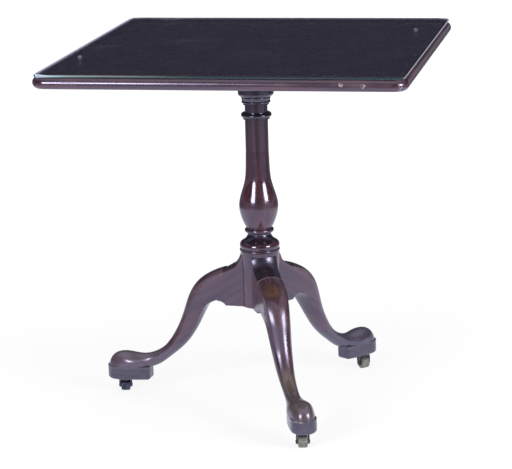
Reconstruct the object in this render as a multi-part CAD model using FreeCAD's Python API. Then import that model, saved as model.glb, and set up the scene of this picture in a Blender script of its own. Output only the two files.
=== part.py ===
# Tilt-top tea table: a glass-covered tray top on a turned pillar with three cabriole legs on casters.
# Millimetres. +Z is up, +X runs to the right along the front edge and +Y goes to the back.
# The origin is on the floor, on the pillar's axis.
import FreeCAD
import Part
import math
import os

Vector = FreeCAD.Vector
UP = Vector(0, 0, 1)

# Overall sizes
TABLE_HEIGHT = 720.0
TOP_WIDTH = 687.0
TOP_DEPTH = 735.0
TOP_CORNER_R = 28.0

# Glass plate and the clear pads that it lies on
GLASS_T = 6.0
GLASS_INSET = 5.5
GLASS_CORNER_R = 12.0
GLASS_EASE = 2.6
PAD_D = 9.0
PAD_LEFT_X = -308.0
PAD_LEFT_Y = -147.0
PAD_RIGHT_X = 287.0
PAD_RIGHT_Y = 211.0

# Tray board and the moulded rim round it
BOARD_T = 14.0
LIP_H = 5.0
LIP_EASE = 2.0
RIM_W = 18.5
RIM_DROP = 2.0
NOSE_IN = 7.0

# Battens under the board
BATTEN_L = 560.0
BATTEN_W = 38.0
BATTEN_H = 36.0
BATTEN_END_H = 14.0
BATTEN_TAPER_L = 90.0
BATTEN_EASE = 3.0
BATTEN_GAP = 1.0
BATTEN_SCREW_PITCH = 170.0
BATTEN_SCREW_BITE = 10.0
COUNTERBORE_D = 11.0
COUNTERBORE_H = 8.0

# Tilt block on the pillar, and the pins that the top turns on
TILT_BLOCK_W = 170.0
TILT_BLOCK_D = 170.0
TILT_BLOCK_T = 46.0
TILT_BLOCK_EASE = 3.0
PIVOT_DROP = 20.0
PIVOT_CLEAR = 0.5
PIN_D = 16.0
PIN_IN_BLOCK = 40.0
PIN_FIT = 0.05
TENON_D = 44.0
WEDGE_T = 5.0
WEDGE_TIP_T = 1.5
WEDGE_H = 28.0

# Slide bolt under the top, and the strike plate that it enters
LATCH_PLATE_L = 64.0
LATCH_PLATE_W = 42.0
LATCH_PLATE_T = 3.0
LATCH_FROM_BLOCK = 7.0
BRIDGE_L = 8.0
BRIDGE_WALL = 2.5
BRIDGE_END_IN = 5.0
BOLT_W = 14.0
BOLT_T = 7.0
BOLT_L = 62.0
BOLT_NOSE_R = 3.0
BOLT_FIT = 0.2
BOLT_STANDOFF = 3.0
BOLT_TRAVEL = 12.0
KNOB_D = 11.0
KNOB_NECK_D = 6.0
KNOB_NECK_H = 3.0
KNOB_PEG_D = 5.0
KNOB_PEG_H = 5.0
KNOB_FROM_TAIL = 20.0
STRIKE_W = 40.0
STRIKE_H = 22.0
STRIKE_T = 2.0
STRIKE_BELOW_TOP = 0.5
STRIKE_FIT = 0.5
MORTISE_SPARE = 3.0

# Screws
BIG_HEAD_D = 9.0
BIG_SHANK_D = 4.8
SMALL_HEAD_D = 6.0
SMALL_SHANK_D = 3.0
SMALL_SCREW_L = 10.0
BRACE_SCREW_L = 32.0
SLOT_W = 1.0
SLOT_DEPTH = 1.2

# Turned pillar, from the hub up to the bulb
HUB_D = 77.0
HUB_H = 111.0
COLLAR_D = 79.4
COLLAR_H = 4.6
COLLAR_QUIRK_D = 75.4
COLLAR_QUIRK_H = 1.0
TORUS_D = 78.6
TORUS_RISE = 5.4
TORUS_H = 14.2
SHOULDER_D = 69.6
CYMA_H = 13.6
CYMA_MID_D = 52.4
WAIST_D = 45.4
WAIST_H = 3.2
BASE_RING_D = 57.6
BASE_RING_H = 9.2
BASE_RING_ROOT_D = 50.0
BULB_FOOT_H = 1.2
BULB_FOOT_D = 50.4
BULB_D = 76.6
BULB_RISE = 46.0
BULB_LOW_D = 66.4
BULB_LOW_RISE = 16.5
BULB_HIGH_D = 64.4
BULB_HIGH_RISE = 73.0
BULB_NECK_D = 52.8
BULB_NECK_RISE = 93.0
BULB_TAPER_D = 47.8
BULB_TAPER_RISE = 113.5
BULB_H = 154.0
SHAFT_D = 45.0

# Turned pillar, from the cap down to the shaft
CAP_D = 70.0
CAP_H = 23.5
CAP_OVOLO_H = 6.4
CAP_OVOLO_D = 54.0
CAP_OVOLO_MID = (0.8, 0.4)
CAP_QUIRK_D = 53.0
CAP_QUIRK_H = 1.6
CAVETTO_TOP_D = 57.6
CAVETTO_FOOT_D = 54.6
CAVETTO_H = 6.4
CAP_BEAD_D = 56.6
CAP_BEAD_ROOT_D = 52.0
CAP_BEAD_H = 4.8
CAP_FILLET_D = 50.6
CAP_FILLET_H = 3.2
NECK_D = 44.2
NECK_H = 15.6
NECK_RING_D = 60.0
NECK_RING_ROOT_D = 50.0
NECK_RING_H = 9.4
RING_FILLET_D = 52.4
RING_FILLET_H = 3.4

# Cabriole legs
LEG_AZIMUTHS = {"left": 175.0, "front": 295.4, "right": 56.5}
LEG_RISE = 142.0
LEG_REACH = 327.0
LEG_W = 50.0
LEG_BUTT_H = 104.0
ANKLE_W = 29.0
FOOT_W = 48.5
KNEE_ARCH = 8.0
BRACKET_FLAT = 27.5
BRACKET_END = 84.0
KNEE_OVERLAP = 10.8
CUSP_RISE = 8.5
CUSP_MID = (0.3, 0.62)
LIP_HEIGHT = 61.0
SWEEP_MID = (0.36, 0.48)
KEY_NECK_W = 14.0
KEY_TAIL_W = 21.0
KEY_DEPTH = 18.0
KEY_H = 86.0

# Shape of the leg: stations down its length, each with its upper and its lower point as shares
# of the way from the knee's start to the toe and of the rise above the sole, its width, and how
# round its section is
LEG_STATIONS = [
    (0.000, 1.518, 0.000, 1.066, 1.03 * LEG_W, 0.04),
    (0.107, 1.444, 0.068, 1.052, 1.03 * LEG_W, 0.08),
    (0.177, 1.370, 0.107, 1.012, 1.03 * LEG_W, 0.20),
    (0.235, 1.276, 0.143, 0.942, 1.00 * LEG_W, 0.38),
    (0.278, 1.165, 0.170, 0.854, 0.96 * LEG_W, 0.55),
    (0.315, 1.018, 0.197, 0.756, 0.91 * LEG_W, 0.70),
    (0.349, 0.843, 0.224, 0.662, 0.85 * LEG_W, 0.84),
    (0.392, 0.655, 0.263, 0.543, 0.78 * LEG_W, 0.94),
    (0.446, 0.480, 0.317, 0.410, 0.71 * LEG_W, 1.00),
    (0.516, 0.320, 0.388, 0.281, 1.09 * ANKLE_W, 1.00),
    (0.602, 0.222, 0.477, 0.152, 1.00 * ANKLE_W, 1.00),
    (0.691, 0.180, 0.571, 0.034, 1.02 * ANKLE_W, 1.00),
    (0.781, 0.186, 0.656, -0.030, 0.82 * FOOT_W, 1.00),
    (0.862, 0.198, 0.714, -0.100, 1.00 * FOOT_W, 1.00),
    (0.932, 0.168, 0.745, -0.142, 1.00 * FOOT_W, 1.00),
    (0.982, 0.068, 0.760, -0.170, 1.00 * FOOT_W, 1.00),
    (1.000, -0.051, 0.768, -0.191, 0.96 * FOOT_W, 1.00),
]

# Foot blocks
FOOT_BLOCK_L = 92.0
FOOT_BLOCK_H = 27.5
FOOT_LEDGE = 0.6
FOOT_BLOCK_TOE = 27.0
FOOT_BLOCK_HEEL_W = 30.0
FOOT_BLOCK_WAIST_W = 44.0
FOOT_BLOCK_EASE = 6.0
FOOT_CORNER_EASE = 7.0

# Iron brace under the hub
BRACE_T = 3.0
BRACE_HUB_D = 52.0
BRACE_ARM_W = 18.0
BRACE_END_IN = 4.0
BRACE_SCREW_IN = 13.0

# Casters
CASTER_HEADINGS = {"left": 100.0, "front": 282.0, "right": 312.0}
CASTER_FROM_TOE = 33.5
WHEEL_D = 24.0
WHEEL_W = 18.0
WHEEL_EDGE_R = 3.2
WHEEL_CLEAR = 0.6
WHEEL_SIDE_GAP = 0.4
TRAIL = 8.0
AXLE_D = 4.0
AXLE_FIT = 0.05
AXLE_HEAD_D = 6.4
AXLE_HEAD_H = 0.9
HORN_ARM_T = 3.4
HORN_EYE_D = 10.0
HORN_BACK = 7.0
CROWN_T = 2.2
CROWN_BOSS_D = 17.0
HORN_NECK_D = 12.0
HORN_NECK_H = 1.8
SWIVEL_GAP = 0.3
STEM_D = 8.0
STEM_L = 18.0
STEM_FIT = 0.05
SOCKET_D = 13.0
SOCKET_L = 20.0
PLATE_D = 36.0
PLATE_T = 1.8
PLATE_SCREWS = 3
PLATE_SCREW_R = 12.5

# Levels that follow from the sizes above
HUB_R = HUB_D / 2
CROWN_UNDER_Z = WHEEL_D + WHEEL_CLEAR
CROWN_TOP_Z = CROWN_UNDER_Z + CROWN_T
PLATE_UNDER_Z = CROWN_TOP_Z + HORN_NECK_H + SWIVEL_GAP
FOOT_BLOCK_UNDER_Z = PLATE_UNDER_Z + PLATE_T
SOLE_Z = FOOT_BLOCK_UNDER_Z + FOOT_BLOCK_H
HUB_UNDER_Z = SOLE_Z + LEG_RISE
RIM_H = BOARD_T + LIP_H
UNDERSIDE_Z = TABLE_HEIGHT - GLASS_T - RIM_H
BOARD_TOP_Z = UNDERSIDE_Z + BOARD_T
RIM_TOP_Z = UNDERSIDE_Z + RIM_H
CAP_TOP_Z = UNDERSIDE_Z - TILT_BLOCK_T
PIVOT_Z = UNDERSIDE_Z - PIVOT_DROP
PIVOT_X = TILT_BLOCK_W / 2 - (PIVOT_DROP - PIVOT_CLEAR)
BATTEN_Y = TILT_BLOCK_D / 2 + BATTEN_GAP + BATTEN_W / 2
BOLT_TOP_Z = UNDERSIDE_Z - LATCH_PLATE_T - BOLT_FIT
BOLT_MID_Z = BOLT_TOP_Z - BOLT_T / 2
BOLT_NOSE_X = -TILT_BLOCK_W / 2 - BOLT_STANDOFF


class Outline:
    """A closed outline in one plane, drawn from point to point and then turned into a face."""

    def __init__(self, place, start):
        self.place = place
        self.start = start
        self.at = start
        self.edges = []

    def line(self, u, v):
        self.edges.append(Part.LineSegment(self.place(*self.at), self.place(u, v)).toShape())
        self.at = (u, v)

    def arc(self, through, end):
        arc = Part.Arc(self.place(*self.at), self.place(*through), self.place(*end))
        self.edges.append(arc.toShape())
        self.at = end

    def curve(self, points):
        spline = Part.BSplineCurve()
        spline.interpolate([self.place(*point) for point in [self.at] + points])
        self.edges.append(spline.toShape())
        self.at = points[-1]

    def face(self):
        self.line(*self.start)
        return Part.Face(Part.Wire(self.edges))


def radial_plane(u, v):
    """A point at distance u from the Z axis and height v, in the XZ plane."""
    return Vector(u, 0, v)


def box(x, y, z):
    """A box between the two values of each pair."""
    return Part.makeBox(x[1] - x[0], y[1] - y[0], z[1] - z[0], Vector(x[0], y[0], z[0]))


def cylinder(diameter, length, base, direction=UP):
    return Part.makeCylinder(diameter / 2, length, base, direction)


def turned_about_z(shape, degrees):
    copy = shape.copy()
    copy.rotate(Vector(0, 0, 0), UP, degrees)
    return copy


def moved(shape, offset):
    copy = shape.copy()
    copy.translate(offset)
    return copy


def rounded_rectangle(width, depth, radius, z):
    """A flat face with rounded corners, centred on the Z axis."""
    outline = Part.makePolygon([
        Vector(-width / 2, -depth / 2, z),
        Vector(width / 2, -depth / 2, z),
        Vector(width / 2, depth / 2, z),
        Vector(-width / 2, depth / 2, z),
        Vector(-width / 2, -depth / 2, z),
    ])
    plate = Part.Face(outline).extrude(UP)
    upright = [edge for edge in plate.Edges if abs(edge.tangentAt(edge.FirstParameter).z) > 0.9]
    rounded = plate.makeFillet(radius, upright)
    return min(rounded.Faces, key=lambda face: face.CenterOfMass.z)


def eased(shape, radius, wanted):
    """Rounds the edges that the test picks out."""
    return shape.makeFillet(radius, [edge for edge in shape.Edges if wanted(edge)])


def level_at(z):
    """A test for the edges that lie flat at height z."""
    return lambda edge: abs(edge.BoundBox.ZMin - z) < 0.01 and abs(edge.BoundBox.ZMax - z) < 0.01


def screw_blank(head_d, shank_d, length):
    """A countersunk screw pointing up from the origin, without its slot."""
    head_h = (head_d - shank_d) / 2
    profile = Outline(radial_plane, (0, 0))
    profile.line(head_d / 2, 0)
    profile.line(shank_d / 2, head_h)
    profile.line(shank_d / 2, length - shank_d)
    profile.line(0, length)
    return profile.face().revolve(Vector(0, 0, 0), UP, 360)


def set_at(shape, point, direction):
    """Moves a shape made along +Z from the origin to a point, pointing along a direction."""
    copy = shape.copy()
    copy.Placement = FreeCAD.Placement(point, FreeCAD.Rotation(UP, direction))
    return copy


class ScrewSet:
    """Equal screws at several points, and the blanks that their holes are cut with."""

    def __init__(self, head_d, shank_d, length, seats):
        blank = screw_blank(head_d, shank_d, length)
        slot = box((-head_d, head_d), (-SLOT_W / 2, SLOT_W / 2), (-SLOT_DEPTH, SLOT_DEPTH))
        screw = blank.cut(slot)
        self.blanks = [set_at(blank, point, direction) for point, direction in seats]
        self.screws = Part.makeCompound([set_at(screw, point, direction) for point, direction in seats])


def leg_direction(name):
    azimuth = math.radians(LEG_AZIMUTHS[name])
    return Vector(math.cos(azimuth), math.sin(azimuth), 0)


# Top: glass, pads, board and rim
def make_glass():
    plate = rounded_rectangle(TOP_WIDTH - 2 * GLASS_INSET, TOP_DEPTH - 2 * GLASS_INSET,
                              GLASS_CORNER_R, RIM_TOP_Z)
    plate = plate.extrude(Vector(0, 0, GLASS_T))
    top_z = RIM_TOP_Z + GLASS_T
    return eased(plate, GLASS_EASE, lambda edge: level_at(RIM_TOP_Z)(edge) or level_at(top_z)(edge))


def make_glass_pads():
    places = [(PAD_LEFT_X, PAD_LEFT_Y), (PAD_RIGHT_X, PAD_RIGHT_Y)]
    return Part.makeCompound([cylinder(PAD_D, LIP_H, Vector(x, y, BOARD_TOP_Z)) for x, y in places])


def make_board():
    face = rounded_rectangle(TOP_WIDTH - 2 * RIM_W, TOP_DEPTH - 2 * RIM_W,
                             TOP_CORNER_R - RIM_W, UNDERSIDE_Z)
    return face.extrude(Vector(0, 0, BOARD_T))


def rim_section(x, front_y):
    """Section of the round-nosed moulding on the front side, where u goes out from the board's edge."""
    def place(u, v):
        return Vector(x, front_y + RIM_W - u, UNDERSIDE_Z + v)

    section = Outline(place, (0, -RIM_DROP))
    section.line(RIM_W - NOSE_IN, -RIM_DROP)
    section.arc((RIM_W, (RIM_H - RIM_DROP) / 2), (RIM_W - NOSE_IN, RIM_H))
    section.line(LIP_EASE, RIM_H)
    ease_mid = LIP_EASE * (1 - math.sqrt(0.5))
    section.arc((ease_mid, RIM_H - ease_mid), (0, RIM_H - LIP_EASE))
    return section.face()


def make_rim_side(length, half_span, degrees):
    """One side of the rim with half of each corner, cut to a mitre at both ends."""
    half = (length - 2 * TOP_CORNER_R) / 2
    straight = rim_section(-half, -half_span).extrude(Vector(2 * half, 0, 0))
    pieces = [straight]
    for end in (-1, 1):
        centre = Vector(end * half, -half_span + TOP_CORNER_R, 0)
        pieces.append(rim_section(end * half, -half_span).revolve(centre, UP, end * 45))
    side = pieces[0].fuse(pieces[1:]).removeSplitter()
    return turned_about_z(side, degrees)


def make_rim():
    return {
        "rim_front": make_rim_side(TOP_WIDTH, TOP_DEPTH / 2, 0),
        "rim_right": make_rim_side(TOP_DEPTH, TOP_WIDTH / 2, 90),
        "rim_back": make_rim_side(TOP_WIDTH, TOP_DEPTH / 2, 180),
        "rim_left": make_rim_side(TOP_DEPTH, TOP_WIDTH / 2, 270),
    }


# Battens and their screws
def batten_screw_set():
    seats = []
    for side in (-1, 1):
        for place in (-1, 0, 1):
            head = Vector(place * BATTEN_SCREW_PITCH, side * BATTEN_Y,
                          UNDERSIDE_Z - BATTEN_H + COUNTERBORE_H)
            seats.append((head, UP))
    length = BATTEN_H - COUNTERBORE_H + BATTEN_SCREW_BITE
    return ScrewSet(BIG_HEAD_D, BIG_SHANK_D, length, seats)


def make_batten(side, screws):
    """A batten along X with tapered ends; side is -1 for the front one and 1 for the back one."""
    inner_y = side * BATTEN_Y - BATTEN_W / 2

    def place(u, v):
        return Vector(u, inner_y, UNDERSIDE_Z - v)

    outline = Outline(place, (-BATTEN_L / 2, 0))
    outline.line(-BATTEN_L / 2, BATTEN_END_H)
    outline.line(-BATTEN_L / 2 + BATTEN_TAPER_L, BATTEN_H)
    outline.line(BATTEN_L / 2 - BATTEN_TAPER_L, BATTEN_H)
    outline.line(BATTEN_L / 2, BATTEN_END_H)
    outline.line(BATTEN_L / 2, 0)
    batten = outline.face().extrude(Vector(0, BATTEN_W, 0))
    batten = eased(batten, BATTEN_EASE, level_at(UNDERSIDE_Z - BATTEN_H))
    bore = cylinder(PIN_D + 2 * PIN_FIT, BATTEN_W, Vector(PIVOT_X, inner_y, PIVOT_Z), Vector(0, 1, 0))
    batten = batten.cut(bore)
    for blank in screws.blanks:
        head = blank.Placement.Base
        counterbore = cylinder(COUNTERBORE_D, COUNTERBORE_H, head - Vector(0, 0, COUNTERBORE_H))
        batten = batten.cut(counterbore).cut(blank)
    return batten


# Tilt block, pins and wedge
def pin_start_y():
    return TILT_BLOCK_D / 2 - PIN_IN_BLOCK


def make_pivot_pin(side):
    length = PIN_IN_BLOCK + BATTEN_GAP + BATTEN_W
    start = Vector(PIVOT_X, side * pin_start_y(), PIVOT_Z)
    return cylinder(PIN_D, length, start, Vector(0, side, 0))


def make_tenon_wedge():
    """A tapered wedge across the pillar's tenon, flush with the top of the block."""
    chord = math.sqrt(TENON_D ** 2 - WEDGE_T ** 2)
    outline = Part.makePolygon([
        Vector(-WEDGE_T / 2, -chord / 2, UNDERSIDE_Z),
        Vector(WEDGE_T / 2, -chord / 2, UNDERSIDE_Z),
        Vector(WEDGE_TIP_T / 2, -chord / 2, UNDERSIDE_Z - WEDGE_H),
        Vector(-WEDGE_TIP_T / 2, -chord / 2, UNDERSIDE_Z - WEDGE_H),
        Vector(-WEDGE_T / 2, -chord / 2, UNDERSIDE_Z),
    ])
    return Part.Face(outline).extrude(Vector(0, chord, 0))


def bolt_hole(clearance, x):
    """The bolt's own section, opened by a clearance, between two places along X."""
    half_w = BOLT_W / 2 + clearance
    half_t = BOLT_T / 2 + clearance
    return box(x, (-half_w, half_w), (BOLT_MID_Z - half_t, BOLT_MID_Z + half_t))


def strike_screw_set():
    low_z = UNDERSIDE_Z - STRIKE_BELOW_TOP - STRIKE_H + SMALL_HEAD_D
    y = STRIKE_W / 2 - SMALL_HEAD_D
    seats = [(Vector(-TILT_BLOCK_W / 2, side * y, low_z), Vector(1, 0, 0)) for side in (-1, 1)]
    return ScrewSet(SMALL_HEAD_D, SMALL_SHANK_D, SMALL_SCREW_L, seats)


def strike_blank():
    """The strike plate without its holes, let in flush with the block's left side."""
    top_z = UNDERSIDE_Z - STRIKE_BELOW_TOP
    face_x = -TILT_BLOCK_W / 2
    return box((face_x, face_x + STRIKE_T), (-STRIKE_W / 2, STRIKE_W / 2), (top_z - STRIKE_H, top_z))


def make_strike_plate(screws):
    face_x = -TILT_BLOCK_W / 2
    plate = strike_blank().cut(bolt_hole(STRIKE_FIT, (face_x, face_x + STRIKE_T)))
    return plate.cut(screws.blanks)


def make_tilt_block(strike_screws):
    half_w = TILT_BLOCK_W / 2
    half_d = TILT_BLOCK_D / 2
    block = box((-half_w, half_w), (-half_d, half_d), (CAP_TOP_Z, UNDERSIDE_Z))
    block = eased(block, PIVOT_DROP - PIVOT_CLEAR, lambda edge: level_at(UNDERSIDE_Z)(edge)
                  and edge.CenterOfMass.x > half_w - 0.01)
    block = eased(block, TILT_BLOCK_EASE, level_at(CAP_TOP_Z))
    block = block.cut(cylinder(TENON_D, TILT_BLOCK_T, Vector(0, 0, CAP_TOP_Z)))
    for side in (-1, 1):
        block = block.cut(make_pivot_pin(side))
    mortise_end = BOLT_NOSE_X + BOLT_TRAVEL + MORTISE_SPARE
    block = block.cut(strike_blank()).cut(bolt_hole(STRIKE_FIT, (-half_w, mortise_end)))
    return block.cut(strike_screws.blanks)


# Slide bolt
def latch_plate_x():
    near = -TILT_BLOCK_W / 2 - LATCH_FROM_BLOCK
    return (near - LATCH_PLATE_L, near)


def latch_screw_set():
    x = latch_plate_x()
    inset = SMALL_HEAD_D
    corners = [(x[0] + inset, -1), (x[0] + inset, 1), (x[1] - inset, -1), (x[1] - inset, 1)]
    under_z = UNDERSIDE_Z - LATCH_PLATE_T
    y = LATCH_PLATE_W / 2 - inset
    return ScrewSet(SMALL_HEAD_D, SMALL_SHANK_D, SMALL_SCREW_L,
                    [(Vector(cx, side * y, under_z), UP) for cx, side in corners])


def make_latch_plate(screws):
    """A brass plate with two bridges that the bolt slides in."""
    x = latch_plate_x()
    under_z = UNDERSIDE_Z - LATCH_PLATE_T
    plate = box(x, (-LATCH_PLATE_W / 2, LATCH_PLATE_W / 2), (under_z, UNDERSIDE_Z))
    half_w = BOLT_W / 2 + BOLT_FIT + BRIDGE_WALL
    bridge_h = BOLT_T + 2 * BOLT_FIT + BRIDGE_WALL
    starts = (x[0] + BRIDGE_END_IN, x[1] - BRIDGE_END_IN - BRIDGE_L)
    for start in starts:
        bridge = box((start, start + BRIDGE_L), (-half_w, half_w), (under_z - bridge_h, under_z))
        plate = plate.fuse(bridge)
    plate = plate.removeSplitter()
    return plate.cut(bolt_hole(BOLT_FIT, x)).cut(screws.blanks)


def knob_axis():
    return Vector(BOLT_NOSE_X - BOLT_L + KNOB_FROM_TAIL, 0, BOLT_TOP_Z - BOLT_T)


def make_latch_bolt():
    half_w = BOLT_W / 2
    bar = box((BOLT_NOSE_X - BOLT_L, BOLT_NOSE_X), (-half_w, half_w), (BOLT_TOP_Z - BOLT_T, BOLT_TOP_Z))
    bar = eased(bar, BOLT_NOSE_R, lambda edge: edge.BoundBox.XMin > BOLT_NOSE_X - 0.01
                and edge.BoundBox.ZLength > BOLT_T / 2)
    return bar.cut(cylinder(KNOB_PEG_D, KNOB_PEG_H, knob_axis()))


def make_latch_knob():
    """A turned finger knob under the bolt, with a peg up into it."""
    profile = Outline(radial_plane, (0, KNOB_PEG_H))
    profile.line(KNOB_PEG_D / 2, KNOB_PEG_H)
    profile.line(KNOB_PEG_D / 2, 0)
    profile.line(KNOB_NECK_D / 2, 0)
    profile.line(KNOB_NECK_D / 2, -KNOB_NECK_H)
    ball_r = KNOB_D / 2
    ball_z = -KNOB_NECK_H - math.sqrt(ball_r ** 2 - (KNOB_NECK_D / 2) ** 2)
    profile.arc((ball_r, ball_z), (0, ball_z - ball_r))
    return moved(profile.face().revolve(Vector(0, 0, 0), UP, 360), knob_axis())


# Pillar
def pillar_outline():
    """Half section of the turned pillar, up from the middle of the hub's underside."""
    profile = Outline(radial_plane, (0, HUB_UNDER_Z))
    profile.line(HUB_R, HUB_UNDER_Z)
    z = HUB_UNDER_Z + HUB_H
    profile.line(HUB_R, z)
    profile.line(COLLAR_QUIRK_D / 2, z)
    profile.arc((COLLAR_D / 2, z + COLLAR_H / 2), (COLLAR_QUIRK_D / 2, z + COLLAR_H))
    z += COLLAR_H + COLLAR_QUIRK_H
    profile.line(COLLAR_QUIRK_D / 2, z)
    profile.arc((TORUS_D / 2, z + TORUS_RISE), (SHOULDER_D / 2, z + TORUS_H))
    z += TORUS_H
    profile.arc((CYMA_MID_D / 2, z + CYMA_H / 2), (WAIST_D / 2, z + CYMA_H))
    z += CYMA_H
    profile.line(WAIST_D / 2, z + WAIST_H)
    z += WAIST_H
    profile.line(BASE_RING_ROOT_D / 2, z)
    profile.arc((BASE_RING_D / 2, z + BASE_RING_H / 2), (BASE_RING_ROOT_D / 2, z + BASE_RING_H))
    z += BASE_RING_H
    profile.line(BULB_FOOT_D / 2, z + BULB_FOOT_H)
    z += BULB_FOOT_H
    profile.curve([
        (BULB_LOW_D / 2, z + BULB_LOW_RISE),
        (BULB_D / 2, z + BULB_RISE),
        (BULB_HIGH_D / 2, z + BULB_HIGH_RISE),
        (BULB_NECK_D / 2, z + BULB_NECK_RISE),
        (BULB_TAPER_D / 2, z + BULB_TAPER_RISE),
        (SHAFT_D / 2, z + BULB_H),
    ])
    return profile


def make_pillar():
    profile = pillar_outline()
    cap_quirk_z = CAP_TOP_Z - CAP_H - CAP_OVOLO_H
    cavetto_z = cap_quirk_z - CAP_QUIRK_H - CAVETTO_H
    bead_z = cavetto_z - CAP_BEAD_H
    neck_top_z = bead_z - CAP_FILLET_H
    ring_z = neck_top_z - NECK_H - NECK_RING_H
    shaft_top_z = ring_z - RING_FILLET_H
    profile.line(SHAFT_D / 2, shaft_top_z)
    profile.line(RING_FILLET_D / 2, shaft_top_z)
    profile.line(RING_FILLET_D / 2, ring_z)
    profile.arc((NECK_RING_D / 2, ring_z + NECK_RING_H / 2), (NECK_RING_ROOT_D / 2, ring_z + NECK_RING_H))
    profile.line(NECK_D / 2, ring_z + NECK_RING_H)
    profile.line(NECK_D / 2, neck_top_z)
    profile.line(CAP_FILLET_D / 2, neck_top_z)
    profile.line(CAP_FILLET_D / 2, bead_z)
    profile.line(CAP_BEAD_ROOT_D / 2, bead_z)
    profile.arc((CAP_BEAD_D / 2, bead_z + CAP_BEAD_H / 2), (CAP_BEAD_ROOT_D / 2, cavetto_z))
    profile.line(CAVETTO_FOOT_D / 2, cavetto_z)
    profile.line(CAVETTO_TOP_D / 2, cavetto_z + CAVETTO_H)
    profile.line(CAP_QUIRK_D / 2, cavetto_z + CAVETTO_H)
    profile.line(CAP_QUIRK_D / 2, cap_quirk_z)
    profile.line(CAP_OVOLO_D / 2, cap_quirk_z)
    ovolo_mid = (CAP_OVOLO_D / 2 + CAP_OVOLO_MID[0] * (CAP_D - CAP_OVOLO_D) / 2,
                 cap_quirk_z + CAP_OVOLO_MID[1] * CAP_OVOLO_H)
    profile.arc(ovolo_mid, (CAP_D / 2, cap_quirk_z + CAP_OVOLO_H))
    profile.line(CAP_D / 2, CAP_TOP_Z)
    profile.line(TENON_D / 2, CAP_TOP_Z)
    profile.line(TENON_D / 2, UNDERSIDE_Z)
    profile.line(0, UNDERSIDE_Z)
    pillar = profile.face().revolve(Vector(0, 0, 0), UP, 360)
    for name in LEG_AZIMUTHS:
        pillar = pillar.cut(turned_about_z(leg_key(), LEG_AZIMUTHS[name]))
    return pillar.cut(make_tenon_wedge())


# Legs, made along +X and then turned to their places
def leg_key():
    """The dovetail that slides up into the hub."""
    tail_x = HUB_R - KEY_DEPTH
    root_x = HUB_R + BRACKET_FLAT / 4
    neck_at_root = KEY_NECK_W / 2 - (root_x - HUB_R) * (KEY_TAIL_W - KEY_NECK_W) / (2 * KEY_DEPTH)
    outline = Part.makePolygon([
        Vector(tail_x, -KEY_TAIL_W / 2, HUB_UNDER_Z),
        Vector(root_x, -neck_at_root, HUB_UNDER_Z),
        Vector(root_x, neck_at_root, HUB_UNDER_Z),
        Vector(tail_x, KEY_TAIL_W / 2, HUB_UNDER_Z),
        Vector(tail_x, -KEY_TAIL_W / 2, HUB_UNDER_Z),
    ])
    return Part.Face(outline).extrude(Vector(0, 0, KEY_H))


def leg_bracket():
    """The flat-sided part by the hub: level underside, cusp, and a hollow sweep on top."""
    flat_end = HUB_R + BRACKET_FLAT
    inside = HUB_R / 2
    lip_z = HUB_UNDER_Z + LIP_HEIGHT
    butt_z = HUB_UNDER_Z + LEG_BUTT_H

    def place(u, v):
        return Vector(u, -LEG_W / 2, v)

    outline = Outline(place, (inside, HUB_UNDER_Z))
    outline.line(flat_end, HUB_UNDER_Z)
    cusp_mid = (flat_end + CUSP_MID[0] * (BRACKET_END - flat_end), HUB_UNDER_Z + CUSP_MID[1] * CUSP_RISE)
    outline.arc(cusp_mid, (BRACKET_END, HUB_UNDER_Z + CUSP_RISE))
    outline.line(BRACKET_END, lip_z)
    sweep_mid = (HUB_R + SWEEP_MID[0] * (BRACKET_END - HUB_R), lip_z + SWEEP_MID[1] * (butt_z - lip_z))
    outline.arc(sweep_mid, (HUB_R, butt_z))
    outline.line(inside, butt_z)
    return outline.face().extrude(Vector(0, LEG_W, 0))


def leg_section(station):
    """A closed section of four arcs: flat-sided under an arch at the knee, and oval at the ankle."""
    upper_s, upper_z, lower_s, lower_z, width, roundness = station
    knee_x = BRACKET_END - KNEE_OVERLAP
    sweep_l = LEG_REACH - knee_x
    upper = Vector(knee_x + upper_s * sweep_l, 0, SOLE_Z + upper_z * LEG_RISE)
    lower = Vector(knee_x + lower_s * sweep_l, 0, SOLE_Z + lower_z * LEG_RISE)
    across = Vector(0, width / 2, 0)
    middle = (upper + lower) * 0.5
    rise = (upper - lower) * 0.5
    quarter = math.sqrt(0.5)
    corner = 1 - (1 - quarter) * roundness
    arch = KNEE_ARCH / rise.Length
    top = 1 - (arch + (1 - quarter - arch) * roundness)
    points = [
        middle + across * corner + rise * top,
        upper,
        middle - across * corner + rise * top,
        middle - across,
        middle - across * corner - rise * corner,
        lower,
        middle + across * corner - rise * corner,
        middle + across,
    ]
    ring = points + points[:1]
    arcs = [Part.Arc(ring[i], ring[i + 1], ring[i + 2]).toShape() for i in range(0, 8, 2)]
    return Part.Wire(arcs)


def make_leg():
    sweep = Part.makeLoft([leg_section(station) for station in LEG_STATIONS], True)
    reach = (0, LEG_REACH + LEG_W)
    plank = box(reach, (-LEG_W / 2, LEG_W / 2), (SOLE_Z, HUB_UNDER_Z + HUB_H))
    leg = sweep.fuse(leg_bracket()).common(plank)
    leg = leg.cut(cylinder(HUB_D, 2 * HUB_H, Vector(0, 0, HUB_UNDER_Z - HUB_H / 2)))
    return leg.fuse(leg_key()).removeSplitter()


# Foot blocks and casters
def caster_place(name):
    return leg_direction(name) * (LEG_REACH - CASTER_FROM_TOE)


def plate_screw_set(name):
    seats = []
    for place in range(PLATE_SCREWS):
        turn = math.radians(LEG_AZIMUTHS[name] + 360 * place / PLATE_SCREWS)
        offset = Vector(math.cos(turn), math.sin(turn), 0) * PLATE_SCREW_R
        seats.append((caster_place(name) + offset + Vector(0, 0, PLATE_UNDER_Z), UP))
    return ScrewSet(SMALL_HEAD_D, SMALL_SHANK_D, SMALL_SCREW_L, seats)


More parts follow.
